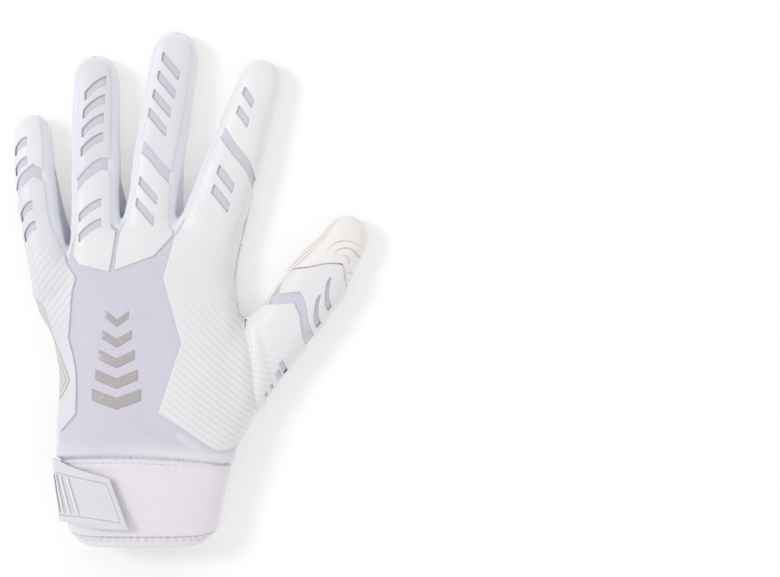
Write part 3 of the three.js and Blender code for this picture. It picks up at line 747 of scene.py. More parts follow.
def outward(points, faces):
    """The faces turned, if need be, so that the closed mesh has a positive volume."""
    total = 0.0
    for f in faces:
        a = points[f[:, 0]]
        for i in range(1, f.shape[1] - 1):
            total += np.einsum("ij,ij->", a, np.cross(points[f[:, i]], points[f[:, i + 1]]))
    return faces if total > 0 else [f[:, ::-1] for f in faces]


def layer(value, low, high):
    """Signed distance from the layer between two levels of a value."""
    return np.maximum(value - high, low - value)


def node_room(nodes, margin=2.5):
    """The room that some CAD nodes take, in millimetres about the wrist seam, with a margin."""
    corners = np.array([[list(c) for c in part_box(n)] for n in nodes]) / MM - SEAM
    return corners[:, 0].min(0) - margin, corners[:, 1].max(0) + margin


# Materials
def add(tree, kind, inputs=(), **settings):
    """A node with its settings and inputs, where an input is a value or another node's output."""
    made = tree.nodes.new(kind)
    for key, value in settings.items():
        setattr(made, key, value)
    for key, value in dict(inputs).items():
        if isinstance(value, bpy.types.NodeSocket):
            tree.links.new(value, made.inputs[key])
        else:
            made.inputs[key].default_value = value
    return made


def math_node(tree, operation, a, b=0.0):
    """The result of a Math node."""
    return add(tree, "ShaderNodeMath", {0: a, 1: b}, operation=operation).outputs[0]


def new_group(name, inputs, outputs):
    """An empty shader group with named sockets, and its input and output nodes."""
    tree = bpy.data.node_groups.new(name, "ShaderNodeTree")
    for label, kind, value in inputs:
        socket = tree.interface.new_socket(label, in_out="INPUT", socket_type="NodeSocket" + kind)
        socket.default_value = value
    for label, kind in outputs:
        tree.interface.new_socket(label, in_out="OUTPUT", socket_type="NodeSocket" + kind)
    return tree, tree.nodes.new("NodeGroupInput"), tree.nodes.new("NodeGroupOutput")


def group_once(name, build):
    """The shader group of that name, built the first time it is asked for."""
    return bpy.data.node_groups.get(name) or build(name)


def build_mottle(name):
    """Slow and fine changes of tone: the colour is multiplied by 1 plus two noises about zero."""
    ins = [("Colour", "Color", (0.8, 0.8, 0.8, 1)), ("Slow", "Float", 0.03)]
    ins += [("Fine", "Float", 0.02), ("Scale", "Float", 1.0)]
    tree, given, result = new_group(name, ins, [("Colour", "Color"), ("Mask", "Float")])
    place = add(tree, "ShaderNodeTexCoord").outputs["Object"]
    slow_scale = math_node(tree, "MULTIPLY", given.outputs["Scale"], 55.0)
    fine_scale = math_node(tree, "MULTIPLY", given.outputs["Scale"], 900.0)
    slow = add(tree, "ShaderNodeTexNoise", {"Vector": place, "Scale": slow_scale, "Detail": 3.0}).outputs[0]
    fine = add(tree, "ShaderNodeTexNoise", {"Vector": place, "Scale": fine_scale, "Detail": 2.0}).outputs[0]
    slow_part = math_node(tree, "MULTIPLY", math_node(tree, "SUBTRACT", slow, 0.5), given.outputs["Slow"])
    fine_part = math_node(tree, "MULTIPLY", math_node(tree, "SUBTRACT", fine, 0.5), given.outputs["Fine"])
    gain = math_node(tree, "ADD", math_node(tree, "ADD", slow_part, fine_part), 1.0)
    scaled = add(tree, "ShaderNodeVectorMath", {0: given.outputs["Colour"]}, operation="SCALE")
    tree.links.new(gain, scaled.inputs["Scale"])
    tree.links.new(scaled.outputs[0], result.inputs["Colour"])
    tree.links.new(slow, result.inputs["Mask"])
    return tree


def build_knit(name):
    """Knit loops: height = |sin(x / pitch + half a step on each second row)| * |sin(y / pitch)|, with the
    place pushed about a little by noise."""
    ins = [("Pitch", "Float", 0.0008), ("Sway", "Float", 0.0002)]
    tree, given, result = new_group(name, ins, [("Height", "Float")])
    place = add(tree, "ShaderNodeTexCoord").outputs["Object"]
    noise = add(tree, "ShaderNodeTexNoise", {"Vector": place, "Scale": 160.0, "Detail": 1.0}).outputs[1]
    terms = {0: noise, 1: (0.5, 0.5, 0.5)}
    centred = add(tree, "ShaderNodeVectorMath", terms, operation="SUBTRACT").outputs[0]
    push = add(tree, "ShaderNodeVectorMath", {0: centred}, operation="SCALE")
    tree.links.new(given.outputs["Sway"], push.inputs["Scale"])
    moved = add(tree, "ShaderNodeVectorMath", {0: place, 1: push.outputs[0]}, operation="ADD").outputs[0]
    axes = add(tree, "ShaderNodeSeparateXYZ", {0: moved})
    turns = math_node(tree, "DIVIDE", math.pi, given.outputs["Pitch"])
    across = math_node(tree, "MULTIPLY", axes.outputs[0], turns)
    along = math_node(tree, "MULTIPLY", axes.outputs[1], turns)
    count = math_node(tree, "FLOOR", math_node(tree, "DIVIDE", along, math.pi))
    row = math_node(tree, "MULTIPLY", count, math.pi / 2)
    loops = math_node(tree, "ABSOLUTE", math_node(tree, "SINE", math_node(tree, "ADD", across, row)))
    rows = math_node(tree, "ABSOLUTE", math_node(tree, "SINE", along))
    tree.links.new(math_node(tree, "MULTIPLY", loops, rows), result.inputs["Height"])
    return tree


def build_contours(name):
    """Contour lines of a slow noise and a given value: a line where noise * count + value is near a whole
    number. The mask is 1 on it."""
    ins = [("Value", "Float", 0.0), ("Count", "Float", 9.0)]
    ins += [("Scale", "Float", 26.0), ("Width", "Float", 0.16)]
    tree, given, result = new_group(name, ins, [("Mask", "Float")])
    place = add(tree, "ShaderNodeTexCoord").outputs["Object"]
    slow = {"Vector": place, "Scale": given.outputs["Scale"], "Detail": 1.2}
    noise = add(tree, "ShaderNodeTexNoise", slow).outputs[0]
    value = math_node(tree, "MULTIPLY", noise, given.outputs["Count"])
    value = math_node(tree, "ADD", value, given.outputs["Value"])
    share = math_node(tree, "FRACT", value)
    off = math_node(tree, "ABSOLUTE", math_node(tree, "SUBTRACT", share, 0.5))
    edge = math_node(tree, "DIVIDE", math_node(tree, "SUBTRACT", given.outputs["Width"], off), 0.09)
    line = add(tree, "ShaderNodeClamp", {0: edge}).outputs[0]
    tree.links.new(line, result.inputs["Mask"])
    return tree


def use_group(tree, name, build, inputs=()):
    """A node of a shared shader group."""
    made = tree.nodes.new("ShaderNodeGroup")
    made.node_tree = group_once(name, build)
    for key, value in dict(inputs).items():
        if isinstance(value, bpy.types.NodeSocket):
            tree.links.new(value, made.inputs[key])
        else:
            made.inputs[key].default_value = value
    return made


def finish_of(name, base, roughness, slow=0.03, fine=0.02, sheen=0.0, coat=0.0, specular=0.5, relief=None):
    """A material: mottled colour, plain roughness, sheen and coat, and a bump. Returns it with its tree, the
    shader and the mottled colour."""
    made = bpy.data.materials.new(name)
    made.use_nodes = True
    tree = made.node_tree
    shader = next(n for n in tree.nodes if n.type == "BSDF_PRINCIPLED")
    tone = use_group(tree, "Mottle", build_mottle, {"Colour": (*base, 1), "Slow": slow, "Fine": fine})
    tree.links.new(tone.outputs["Colour"], shader.inputs["Base Color"])
    shader.inputs["Roughness"].default_value = roughness
    shader.inputs["Specular IOR Level"].default_value = specular
    shader.inputs["Sheen Weight"].default_value = sheen
    shader.inputs["Sheen Roughness"].default_value = 0.4
    shader.inputs["Coat Weight"].default_value = coat
    shader.inputs["Coat Roughness"].default_value = 0.25
    if relief:
        height, depth = relief(tree)
        bump = add(tree, "ShaderNodeBump", {"Height": height, "Distance": depth, "Strength": 1.0})
        tree.links.new(bump.outputs[0], shader.inputs["Normal"])
    return made, tree, shader, tone


def knit_relief(pitch, depth):
    """The bump of a knit with that pitch and depth, in metres."""
    return lambda tree: (use_group(tree, "Knit", build_knit, {"Pitch": pitch}).outputs["Height"], depth)


def grain_relief(scale, depth):
    """The bump of a fine grain."""

    def build(tree):
        place = add(tree, "ShaderNodeTexCoord").outputs["Object"]
        noise = add(tree, "ShaderNodeTexNoise", {"Vector": place, "Scale": scale, "Detail": 3.0})
        return noise.outputs[0], depth

    return build


def shade(tree, colour, mask, strength, tone):
    """The colour mixed towards a tone where the mask is 1, by a strength."""
    factor = math_node(tree, "MULTIPLY", mask, strength)
    mix = add(tree, "ShaderNodeMix", {"Factor": factor}, data_type="RGBA")
    tree.links.new(colour, mix.inputs[6])
    mix.inputs[7].default_value = (*tone, 1)
    return mix.outputs[2]


def palm_material(name, colours):
    """Cream silicone, greyed with painted shade where it is carried up beside the little finger, with taupe
    contour lines that stand a little proud and are smoother."""
    made, tree, shader, tone = finish_of(name, colours.palm, 0.5, 0.04, 0.02, specular=0.4)
    guide = add(tree, "ShaderNodeAttribute", attribute_name="print_guide").outputs["Fac"]
    strength = add(tree, "ShaderNodeAttribute", attribute_name="print_strength").outputs["Fac"]
    lines = use_group(tree, "Contours", build_contours, {"Value": guide, "Width": 0.17}).outputs["Mask"]
    ink = math_node(tree, "MULTIPLY", lines, strength)
    # Painted shade: the patch beside the little finger is greyed.
    shadow = add(tree, "ShaderNodeAttribute", attribute_name="shadow").outputs["Fac"]
    ground = shade(tree, tone.outputs["Colour"], shadow, 0.75, [0.68 * v for v in colours.palm])
    tree.links.new(shade(tree, ground, ink, 0.8, colours.print_line), shader.inputs["Base Color"])
    rough = math_node(tree, "SUBTRACT", 0.52, math_node(tree, "MULTIPLY", ink, 0.14))
    tree.links.new(rough, shader.inputs["Roughness"])
    bump = add(tree, "ShaderNodeBump", {"Height": ink, "Distance": 0.0001, "Strength": 0.6})
    tree.links.new(bump.outputs[0], shader.inputs["Normal"])
    return made


def back_material(name, colours):
    """Matt knit with a painted highlight: a band over the welt above the wrist seam, stronger towards the
    thumb side, and a streak along a fold.
    """
    relief = knit_relief(0.0007, 0.00008)
    made, tree, shader, tone = finish_of(name, colours.back, 0.85, 0.025, 0.06, 0.2, relief=relief)
    painted_highlight = add(tree, "ShaderNodeAttribute", attribute_name="painted_highlight").outputs["Fac"]
    tree.links.new(shade(tree, tone.outputs["Colour"], painted_highlight, 0.8, colours.painted_highlight), shader.inputs["Base Color"])
    return made


def badge_material(name, colours):
    """Glitter print: flakes from small cells, some bright and mirror-like."""
    made, tree, shader, tone = finish_of(name, colours.badge, 0.5, 0.05, 0.1)
    place = add(tree, "ShaderNodeTexCoord").outputs["Object"]
    cells = add(tree, "ShaderNodeTexVoronoi", {"Vector": place, "Scale": 1900.0})
    spark = add(tree, "ShaderNodeSeparateXYZ", {0: cells.outputs["Color"]}).outputs[0]
    bright = math_node(tree, "GREATER_THAN", spark, 0.72)
    mix = add(tree, "ShaderNodeMix", {"Factor": math_node(tree, "MULTIPLY", spark, 0.4)}, data_type="RGBA")
    tree.links.new(tone.outputs["Colour"], mix.inputs[6])
    mix.inputs[7].default_value = (0.62, 0.58, 0.57, 1)
    tree.links.new(mix.outputs[2], shader.inputs["Base Color"])
    tree.links.new(math_node(tree, "MULTIPLY", bright, 0.5), shader.inputs["Metallic"])
    rough = math_node(tree, "SUBTRACT", 0.6, math_node(tree, "MULTIPLY", bright, 0.25))
    tree.links.new(rough, shader.inputs["Roughness"])
    return made


def film_material(name, colours):
    """Satin moulded film with a faint pebble, with painted shade in the valleys between its ribs and on the
    cut walls of its windows, and with more of the knit's lavender where the film lets it show, which on the
    little finger's side film is painted shade as well."""
    relief = grain_relief(1400.0, 0.00003)
    made, tree, shader, tone = finish_of(name, colours.film, 0.48, 0.02, 0.012, coat=0.1, relief=relief)
    colour = tone.outputs["Colour"]
    # Painted marks: the knit's lavender where the film lets it show, painted shade as well on the little
    # finger's side film; painted shade in the rib valleys and on the window walls.
    marks = (
        ("thin_and_shade", 0.55, colours.back),
        ("valley_shade", 0.4, [0.7 * v for v in colours.film]),
        ("wall", 0.75, [0.42 * v for v in colours.film]),
    )
    for key, strength, other in marks:
        mask = add(tree, "ShaderNodeAttribute", attribute_name=key).outputs["Fac"]
        colour = shade(tree, colour, mask, strength, other)
    tree.links.new(colour, shader.inputs["Base Color"])
    return made


def side_material(name, colours):
    """Smooth stretch knit, with a dark lavender painted shade low in the crotches between the fingers."""
    relief = knit_relief(0.0006, 0.00006)
    made, tree, shader, tone = finish_of(name, colours.side, 0.75, 0.02, 0.04, 0.15, relief=relief)
    crotch_shade = add(tree, "ShaderNodeAttribute", attribute_name="crotch_shade").outputs["Fac"]
    tree.links.new(shade(tree, tone.outputs["Colour"], crotch_shade, 0.9, colours.crotch_shade), shader.inputs["Base Color"])
    return made


def rubber_material(name, colours):
    """Moulded rubber, with a painted highlight on its beads and painted shade in its grooves."""
    relief = grain_relief(1100.0, 0.00004)
    made, tree, shader, tone = finish_of(name, colours.rubber, 0.45, 0.02, 0.015, coat=0.15, relief=relief)
    colour = tone.outputs["Colour"]
    groove = [0.5 * v for v in colours.rubber]
    # Painted shade in the grooves and a painted highlight on the beads.
    for key, strength, other in (("groove", 0.7, groove), ("bead", 0.9, colours.bead)):
        mask = add(tree, "ShaderNodeAttribute", attribute_name=key).outputs["Fac"]
        colour = shade(tree, colour, mask, strength, other)
    tree.links.new(colour, shader.inputs["Base Color"])
    return made


MATERIALS = {
    "palm": palm_material,
    "back": back_material,
    "side": side_material,
    "film": film_material,
    "neoprene": lambda n, c: finish_of(
        n, c.neoprene, 0.9, 0.025, 0.05, 0.2, relief=knit_relief(0.0006, 0.00005)
    )[0],
    "tape": lambda n, c: finish_of(n, c.tape, 0.8, 0.025, 0.05, 0.15, relief=knit_relief(0.0009, 0.0001))[0],
    "rubber": rubber_material,
    "piping": lambda n, c: finish_of(n, c.piping, 0.6, 0.02, 0.03, 0.1)[0],
    "thread": lambda n, c: finish_of(n, c.thread, 0.7, 0.05, 0.08, 0.2)[0],
    "tack": lambda n, c: finish_of(n, c.tack, 0.7, 0.03, 0.05, 0.2)[0],
    "badge": badge_material,
}


def material(kind):
    """The glove's material of that kind, made the first time it is asked for."""
    name = "glove_" + kind
    return bpy.data.materials.get(name) or MATERIALS[kind](name, bpy.context.scene.glove_colours)


# Regions of the pieces over the plan
def side_outline(left, right):
    """Plan between two neighbouring fingers, from just under one's film to just under the other's, round
    their tips and down to the crotch between them."""
    up = FILM_TABLES[left]["right"]
    down = [max(v, -0.9) + 0.1 for v in FILM_TABLES[right]["left"]]
    base = {"little": (0.93, -0.645), "ring": (0.965, -0.15), "middle": (0.935, 0.39)}[left]
    climb = [(0.3, up[0] - 0.1), (0.6, up[0] - 0.1), (0.8, up[1] - 0.12)]
    climb += [(0.9, up[1] - 0.14), (0.95, up[1] * 0.75)]
    crown = [(0.975, up[1] * 0.4), (0.975, 0.02), (1.3, 0.02)]
    fall = [(1.3, -0.02), (0.975, -0.02), (0.972, down[1] * 0.42), (0.94, down[1] * 0.86), (0.87, down[1])]
    drop = [(0.6, sum(down) / 2), (0.3, down[0]), (0.2, down[0])]
    climb = [(0.2, up[0] - 0.1)] + climb
    return np.vstack([on_hand([base]), on_limb(left, climb + crown), on_limb(right, fall + drop)])


NEIGHBOURS = [("little", "ring"), ("ring", "middle"), ("middle", "index")]
SIDES = {pair: plan_region(side_outline(*pair), 0.5) for pair in NEIGHBOURS}
# The low web of side knit in each crotch, a sheet set in the shaded gap there, and how strong the painted
# shade is on it and on the strips near it.
WEBS = {
    "little": [
        (-42.8, 137), (-40.7, 128.3), (-39.1, 120.5), (-36.8, 111.3), (-35, 105.3), (-34, 99.8), (-34.5, 95),
        (-38, 92), (-42, 102), (-44, 115.9), (-45.5, 129.7),
    ],
    "ring": [
        (-12.7, 134), (-11.1, 125.9), (-9.6, 119.7), (-8.8, 115.9), (-9.2, 110.5), (-10.6, 107),
        (-13, 110), (-14.5, 122), (-15, 134),
    ],
    "middle": [
        (17.5, 137), (17.5, 125.9), (17.3, 115.9), (17.2, 109.8), (15.5, 106), (12, 106),
        (11.5, 116), (12.5, 126), (14.5, 137),
    ],
}
WEB_DEPTH = {"little": 0.95, "ring": 1.0, "middle": 0.45}
WEB_MAPS = {name: plan_region(smooth_outline(rows), 0.4) for name, rows in WEBS.items()}
ULNAR = plan_region(smooth_outline(ULNAR_STRIP), 0.5)
CAP = plan_region(smooth_outline(on_limb("thumb", THUMB_CAP)), 0.5)
EDGE = plan_region(on_limb("thumb", THUMB_EDGE), 0.5)
THUMB_PALM = plan_region(on_limb("thumb", [(0.36, -1.6), *THUMB_CREASE, (1.25, 1.8), (1.25, -2.2)]), 0.5)
PALM_SEAM = 5.0
CLEAR = 0.12


def wrist_edge(x, y):
    """Signed distance past the wrist seam, negative on the hand."""
    return seam_arc(x) + 0.25 - y


def palm_region(x, y, z):
    """Below the palm seam or in the ulnar strip, outside the thumb."""
    value = np.minimum(z - PALM_SEAM, ULNAR(x, y))
    return np.maximum(np.maximum(value, CLEAR - THUMB_PALM(x, y)), wrist_edge(x, y))


def thumb_region(x, y, z):
    """The thumb's palm side, with its tip and its inner edge carried up to the back."""
    raised = np.minimum(CAP(x, y), np.maximum(EDGE(x, y), z - EDGE_TOP))
    return np.maximum(np.minimum(z - PALM_SEAM, raised), THUMB_PALM(x, y) + CLEAR)


def back_region(x, y, z):
    """Above the palm seam, outside what the palm carries up."""
    value = np.maximum(PALM_SEAM + CLEAR - z, CLEAR - np.minimum(ULNAR(x, y), CAP(x, y)))
    value = np.maximum(value, CLEAR - np.maximum(EDGE(x, y), z - EDGE_TOP))
    return np.maximum(value, wrist_edge(x, y))


def cloth_surface(region, low, high, sizes):
    """A piece of the glove's cloth: its outer layer, cut to a region with rounded edges."""
    wall = sizes.cloth / MM

    def field(x, y, z):
        return blend_max(layer(glove_value(x, y, z), -wall, 0.0), region(x, y, z), 0.6)

    return level_surface(field, low, high, sizes.cloth_grid / MM)


ARC_MIDDLE = (90.0, 89.0)


def print_layers(points):
    """What the palm's contour lines follow, and how strongly they are printed. Over the palm the guide is a
    soft distance to the nearest pad in line steps. Where the palm is carried up to the back it is, at the
    thumb's tip, the distance to one point, with arcs on its outer side; at the thumb's inner edge, the run
    across the thumb; and beside the little finger's knuckle, mostly the distance to the patch's border. The
    shadow layer is 1 on that patch, which is greyed with painted shade."""
    x, y, z = points.T
    fingers = ("little", "ring", "middle", "index")
    pads = [on_limb(name, [(at, 0)])[0] for name in fingers for at in (0.25, 0.55, 0.85)]
    pads += [on_limb("thumb", [(at, 0.1)])[0] for at in (0.5, 0.9)]
    pads += [np.array(pad) for pad in ((20, 30), (-24, 34), (-6, 78), (-34, 72))]
    gaps = np.stack([np.hypot(x - px, y - py) for px, py in pads])
    guide = np.log(np.exp(-gaps / 3.0).sum(0)) * -3.0 / 2.6
    strength = np.ones(len(x))
    raised = np.clip((z - 6.5) / 1.5, 0, 1)
    along, across = limb_shares("thumb", x, y)
    cap = (along > 0.55) & (across > -0.75)
    spot = np.hypot(x - ARC_MIDDLE[0], y - ARC_MIDDLE[1])
    guide = np.where(cap, guide * (1 - raised) + spot / 2.2 * raised, guide)
    run = 0.85 * (x - ARC_MIDDLE[0]) + 0.53 * (y - ARC_MIDDLE[1])
    towards = np.clip(0.45 + run / np.maximum(spot, 1.0), 0, 1)
    arcs = np.clip((13.0 - spot) / 3, 0, 1) * np.clip((spot - 3.2) / 1.0, 0, 1) * towards
    strength = np.where(cap, 1 - raised + raised * 0.75 * arcs, strength)
    edge = (along > 0.3) & (across <= -0.75) & (y > 25)
    guide = np.where(edge, guide * (1 - raised) + (across * 9.0 + 0.5 * np.sin(along * 14.0)) * raised, guide)
    patch = (x < -30) & (y < 80)
    inside = -ULNAR(x, y)
    followed = guide * (1 - 0.75 * raised) + raised * (inside / 1.7 + 0.1 * np.sin(y / 2.3))
    guide = np.where(patch, followed, guide)
    drawn = (0.5 + np.clip((66 - y) / 20, 0, 1)) * np.clip((6.5 - inside) / 3, 0.25, 1)
    strength = np.where(patch, 1 - raised + raised * drawn * 1.2, strength)
    return {"print_guide": guide, "print_strength": strength, "shadow": patch * raised}


# Films
def limb_then(*parts):
    """Plan points from parts (name, rows): on a finger or on the hand by shares, or in the plan by
    millimetres."""
    placed = {"hand": on_hand, "plan": np.array}
    return np.vstack([placed[name](rows) if name in placed else on_limb(name, rows) for name, rows in parts])


def base_edge(name):
    """The upper edge of a finger's base film, one band below its tip film."""
    return [(along - BAND / LIMBS[name]["length"], across) for along, across in FILM_TABLES[name]["band"]]


def tip_outline(name):
    """Outline of a finger's tip film: the band's upper edge, then round the fingertip."""
    table = FILM_TABLES[name]
    left, right, end = table["left"], table["right"], table["end"]
    rise = [(0.88, right[1]), (0.95, right[1] * 0.9), (end - 0.012, right[1] * 0.62), (end, right[1] * 0.2)]
    fall = [(end, left[1] * 0.2), (end - 0.012, left[1] * 0.62), (0.95, left[1] * 0.9), (0.88, left[1])]
    start = table.get("wrap", [(0.7, (left[0] + left[1]) / 2)])
    if "wrap" in table:
        fall = [(end, -0.2), (end, -0.9), (0.95, -1.3), (0.88, -1.35)]
    return on_limb(name, table["band"] + rise + fall + start)


FILMS = {
    "film_ring_base": (
        limb_then(
            ("ring", base_edge("ring") + [(0.18, 0.72)]),
            ("hand", [
                (0.96, -0.17), (0.87, -0.19), (0.792, -0.24), (0.827, -0.38), (0.876, -0.53), (0.945, -0.615),
            ]),
            ("ring", [(0.168, -0.75)]),
        ),
        [("ring", 0.258, -0.13), ("ring", 0.163, -0.13)],
    ),
    "film_middle_base": (
        limb_then(
            ("middle", base_edge("middle") + [(0.2, 0.84)]),
            ("hand", [
                (0.95, 0.4), (0.933, 0.417), (0.885, 0.32), (0.838, 0.22), (0.793, -0.19), (0.87, -0.155),
                (0.96, -0.13),
            ]),
            ("middle", [(0.2, -0.78)]),
        ),
        [("middle", 0.305, -0.13), ("middle", 0.213, -0.12)],
    ),
    "film_little_side": (
        limb_then(
            ("little", base_edge("little") + [(0.29, 0.6)]),
            (
                "hand",
                [
                    (0.97, -0.71), (0.92, -0.66), (0.826, -0.57),
                ],
            ),
            (
                "plan",
                [
                    (-31.6, 76.8), (-32.5, 65.3), (-33.4, 55), (-30.8, 45.8), (-29.9, 41.2), (-29.6, 20.5),
                    (-37.4, 11.8),
                    (-39.1, 23.9), (-36.3, 28.5), (-32.7, 35.4), (-33.6, 39.1), (-36.3, 45.5), (-39.1, 51.5),
                    (-41.9, 58.4), (-44.6, 67.6), (-46.9, 70.8), (-50.1, 73.1), (-56.0, 75.0),
                ],
            ),
            ("little", [(0.1, -1.6)]),
        ),
        [("little", 0.401, -0.55), ("little", 0.272, -0.55)],
    ),
    "film_index_side": (
        limb_then(
            ("index", base_edge("index") + [(0.2, 1.6)]),
            ("hand", [(0.9, 1.3), (0.75, 1.2), (0.64, 1.1)]),
            ("thumb", THUMB_CREASE),
            ("plan", [
                (60, 12), (48, 11), (44.2, 8), (41.6, 5.3), (38.4, 3.9), (35.2, 3.9), (31.4, 5.6),
                (20.7, 13.0),
            ]),
            ("hand", [(0.193, 0.1), (0.481, 0.37), (0.75, 0.3), (0.927, 0.432)]),
            ("index", [(0.075, -0.85), (0.196, -0.78), (0.356, -0.76)]),
        ),
        [("index_base", 0.394, 0.03), ("index_base", 0.297, 0.09)],
    ),
    "film_thumb_base": (
        on_limb(
            "thumb",
            THUMB_CREASE[::-1]
            + [(0.4, -1.2), (0.47, -0.9), (0.523, -0.41), (0.549, -0.15), (0.52, 0.24), (0.448, 0.78)]
            + [(0.38, 1.6)],
        ),
        [
            ("thumb_edge", 0.303, 0.84), ("thumb_edge", 0.262, 0.93),
            ("thumb_hem", 0.2, 0.98), ("thumb_hem", 0.158, 1.01),
        ],
    ),
    "film_thumb_tip": (
        on_limb(
            "thumb",
            [
                (0.541, -0.74), (0.602, -0.21), (0.584, 0.08), (0.519, 0.63), (0.44, 1.6), (0.7, 1.6),
                (0.739, 0.97), (0.804, 0.52), (0.78, 0.1), (0.707, -0.5), (0.665, -0.86), (0.6, -0.93),
            ],
        ),
        [("thumb", 0.583, 0.66), ("thumb", 0.668, 0.62)],
    ),
}
for finger in FILM_TABLES:
    places = [(finger, *w) for w in FILM_TABLES[finger]["windows"]]
    FILMS[f"film_{finger}_tip"] = (tip_outline(finger), places)

# How far each film is tinted towards the knit's lavender where it lets the knit show; on the little finger's
# side film this is painted shade as well.
THIN_AND_SHADE = {
    "film_ring_tip": 1.0, "film_middle_tip": 0.75, "film_little_tip": 0.25, "film_little_side": 0.8,
    "film_ring_base": 0.35, "film_middle_base": 0.35, "film_index_side": 0.25, "film_thumb_tip": 0.35,
    "film_thumb_base": 0.2,
}
# Strength of the painted shade on each film's window walls; other films take 0.35.
WALLS = {
    "film_ring_tip": 1.0, "film_middle_tip": 0.9, "film_thumb_tip": 0.9, "film_little_side": 0.8,
    "film_index_side": 0.8,
}
JOINED = ("film_index_side", "film_thumb_base")
FILM_HEM = 6.2
WEB_PLACE = (46, 61)
# Ribs of each panel: lean in degrees up from +X at a point in the plan, change of lean per millimetre up the
# plan, the part of the plan where they are clearest, and how clear they are far from there and at best.
RIBS = {
    "film_index_side": {
        "lean": -42.0, "fan": -0.16, "at": (30.0, 40.0), "clear": ((42.0, 26.0), 40.0), "range": (0.25, 1.0),
    },
    "film_little_side": {
        "lean": 52.0, "fan": 0.05, "at": (-40.0, 70.0), "clear": ((-40.0, 76.0), 24.0), "range": (0.06, 0.9),
    },
    "film_thumb_base": {
        "lean": -12.0, "fan": 0.0, "at": (55.0, 50.0), "clear": ((56.0, 38.0), 16.0), "range": (0.2, 0.6),
    },
}


def window_outline(name, along, across, shrink=0.22):
    """A slanted window: along = middle + climb * b / 2 + bow * (1 - b^2) over its breadth b from -1 to 1,
    drawn in so that its corners can be rounded by the same amount."""
    reach, climb, bow, long = WINDOW_FORM[name]
    b = np.linspace(-1, 1, 9)
    middle = along + climb * b / 2 + bow * (1 - b**2)
    name = name.split("_")[0]
    limb = LIMBS[name]
    half = (long / 2 - shrink) / limb["length"]
    side = across + b * (reach - shrink / (limb["width"] / 2))
    upper = np.stack([middle + half, side], 1)
    lower = np.stack([middle - half, side], 1)[::-1]
    return on_limb(name, np.vstack([lower[::-1], upper[::-1]]))


def film_maps(name):
    """Plan maps of a film: signed distances to its outline and to its nearest window, whose corners are
    rounded."""
    outline, windows = FILMS[name]
    made = plan_region(smooth_outline(outline, 38 if name.endswith("_tip") else 16), 0.3)
    if name in JOINED:
        made.values = made.values - 0.3
    holes = PlanMap(made.low, made.low, 1.0)
    holes.pitch, holes.x, holes.y = made.pitch, made.x, made.y
    gaps = [outline_distance(made.x, made.y, window_outline(*window)) - 0.22 for window in windows]
    holes.values = np.min(gaps, axis=0)
    return made, holes


def rib_relief(name, x, y, sizes):
    """Height of a panel's ribs: narrow valleys one pitch apart, along lines whose lean changes slowly up the
    plan, and fading away from where they are clearest."""
    if name not in RIBS:
        return 0.0
    rib = RIBS[name]
    dx, dy = x - rib["at"][0], y - rib["at"][1]
    lean = np.radians(rib["lean"] + rib["fan"] * dy)
    pitch = sizes.rib_pitch / MM
    share = (dy * np.cos(lean) - dx * np.sin(lean)) / pitch
    off = (share - np.round(share)) * pitch
    (cx, cy), reach = rib["clear"]
    least, most = rib["range"]
    strength = least + (most - least) * bell(np.hypot(x - cx, y - cy), reach)
    return -sizes.rib_height / MM * bell(off, 0.42) * strength


def film_surface(name, sizes):
    """A film: the layer from a little under to a little over the cloth, inside its plan and above its hem,
    which dips at the web beside the thumb. Returns its points and faces, and for each point the painted shade
    of the rib valleys by how far down them it stands, the painted shade of a window's cut wall, most on the
    walls towards the upper left, and how far it is tinted towards the knit where the film lets it show, with
    painted shade as well on the little finger's side film."""
    outline, holes = film_maps(name)
    low, high = node_room([name], 2.5)
    top, sink, edge = sizes.film_height / MM, sizes.film_sink / MM, sizes.film_edge / MM
    low[2] -= 1.0
    high[2] += 1.5

    def field(x, y, z):
        value = layer(glove_value(x, y, z), -sink, top + rib_relief(name, x, y, sizes))
        hem = FILM_HEM - 2.6 * bell(np.hypot(x - WEB_PLACE[0], y - WEB_PLACE[1]), 7.0)
        value = blend_max(value, np.maximum(outline(x, y) + 0.15, hem - z), edge)
        return blend_max(value, -holes(x, y), 0.6 * edge)

    points, faces = level_surface(field, low, high, sizes.film_grid / MM)
    x, y = points[:, 0], points[:, 1]
    # Painted shade in the rib valleys: 1 at the bottom of the valleys, less up their sides.
    valley_shade = -rib_relief(name, x, y, sizes) / (sizes.rib_height / MM) + 0 * x
    thin_and_shade = np.full(len(x), THIN_AND_SHADE.get(name, 0.0))
    # On the little finger's side film the tint towards the knit is painted shade as well, growing towards the
    # wrist.
    if name == "film_little_side":
        thin_and_shade += 0.3 * np.clip((85 - y) / 30, 0, 1)
    # Painted shade on the cut walls of the windows, strongest on the walls towards the upper left, which face
    # away from the light.
    away = np.stack([holes(x + 0.2, y) - holes(x - 0.2, y), holes(x, y + 0.2) - holes(x, y - 0.2)])
    facing = 0.7 * (0.8 * away[1] - 0.6 * away[0]) / np.maximum(np.hypot(*away), 1e-6)
    shaded = np.clip(0.45 + facing, 0.08, 1)
    wall = np.clip(1.0 - holes(x, y) / 0.4, 0, 1) * shaded * WALLS.get(name, 0.35)
    return points, faces, {"valley_shade": valley_shade, "wall": wall, "thin_and_shade": thin_and_shade}


# Seam rolls and stitched lines
ROLL_FOOT = {"ring": (0.07, -0.95), "middle": (0.145, -1.0), "index": (0.06, -0.97)}
ROLL_ROWS = [(0.2, -0.87), (0.4, -0.87), (0.62, -0.87)]
ROLL_TIP = [
    (0.86, -0.87), (0.92, -0.8), (0.955, -0.62), (0.972, -0.35), (0.978, 0.0), (0.972, 0.35), (0.955, 0.62),
    (0.92, 0.8), (0.87, 0.87),
]


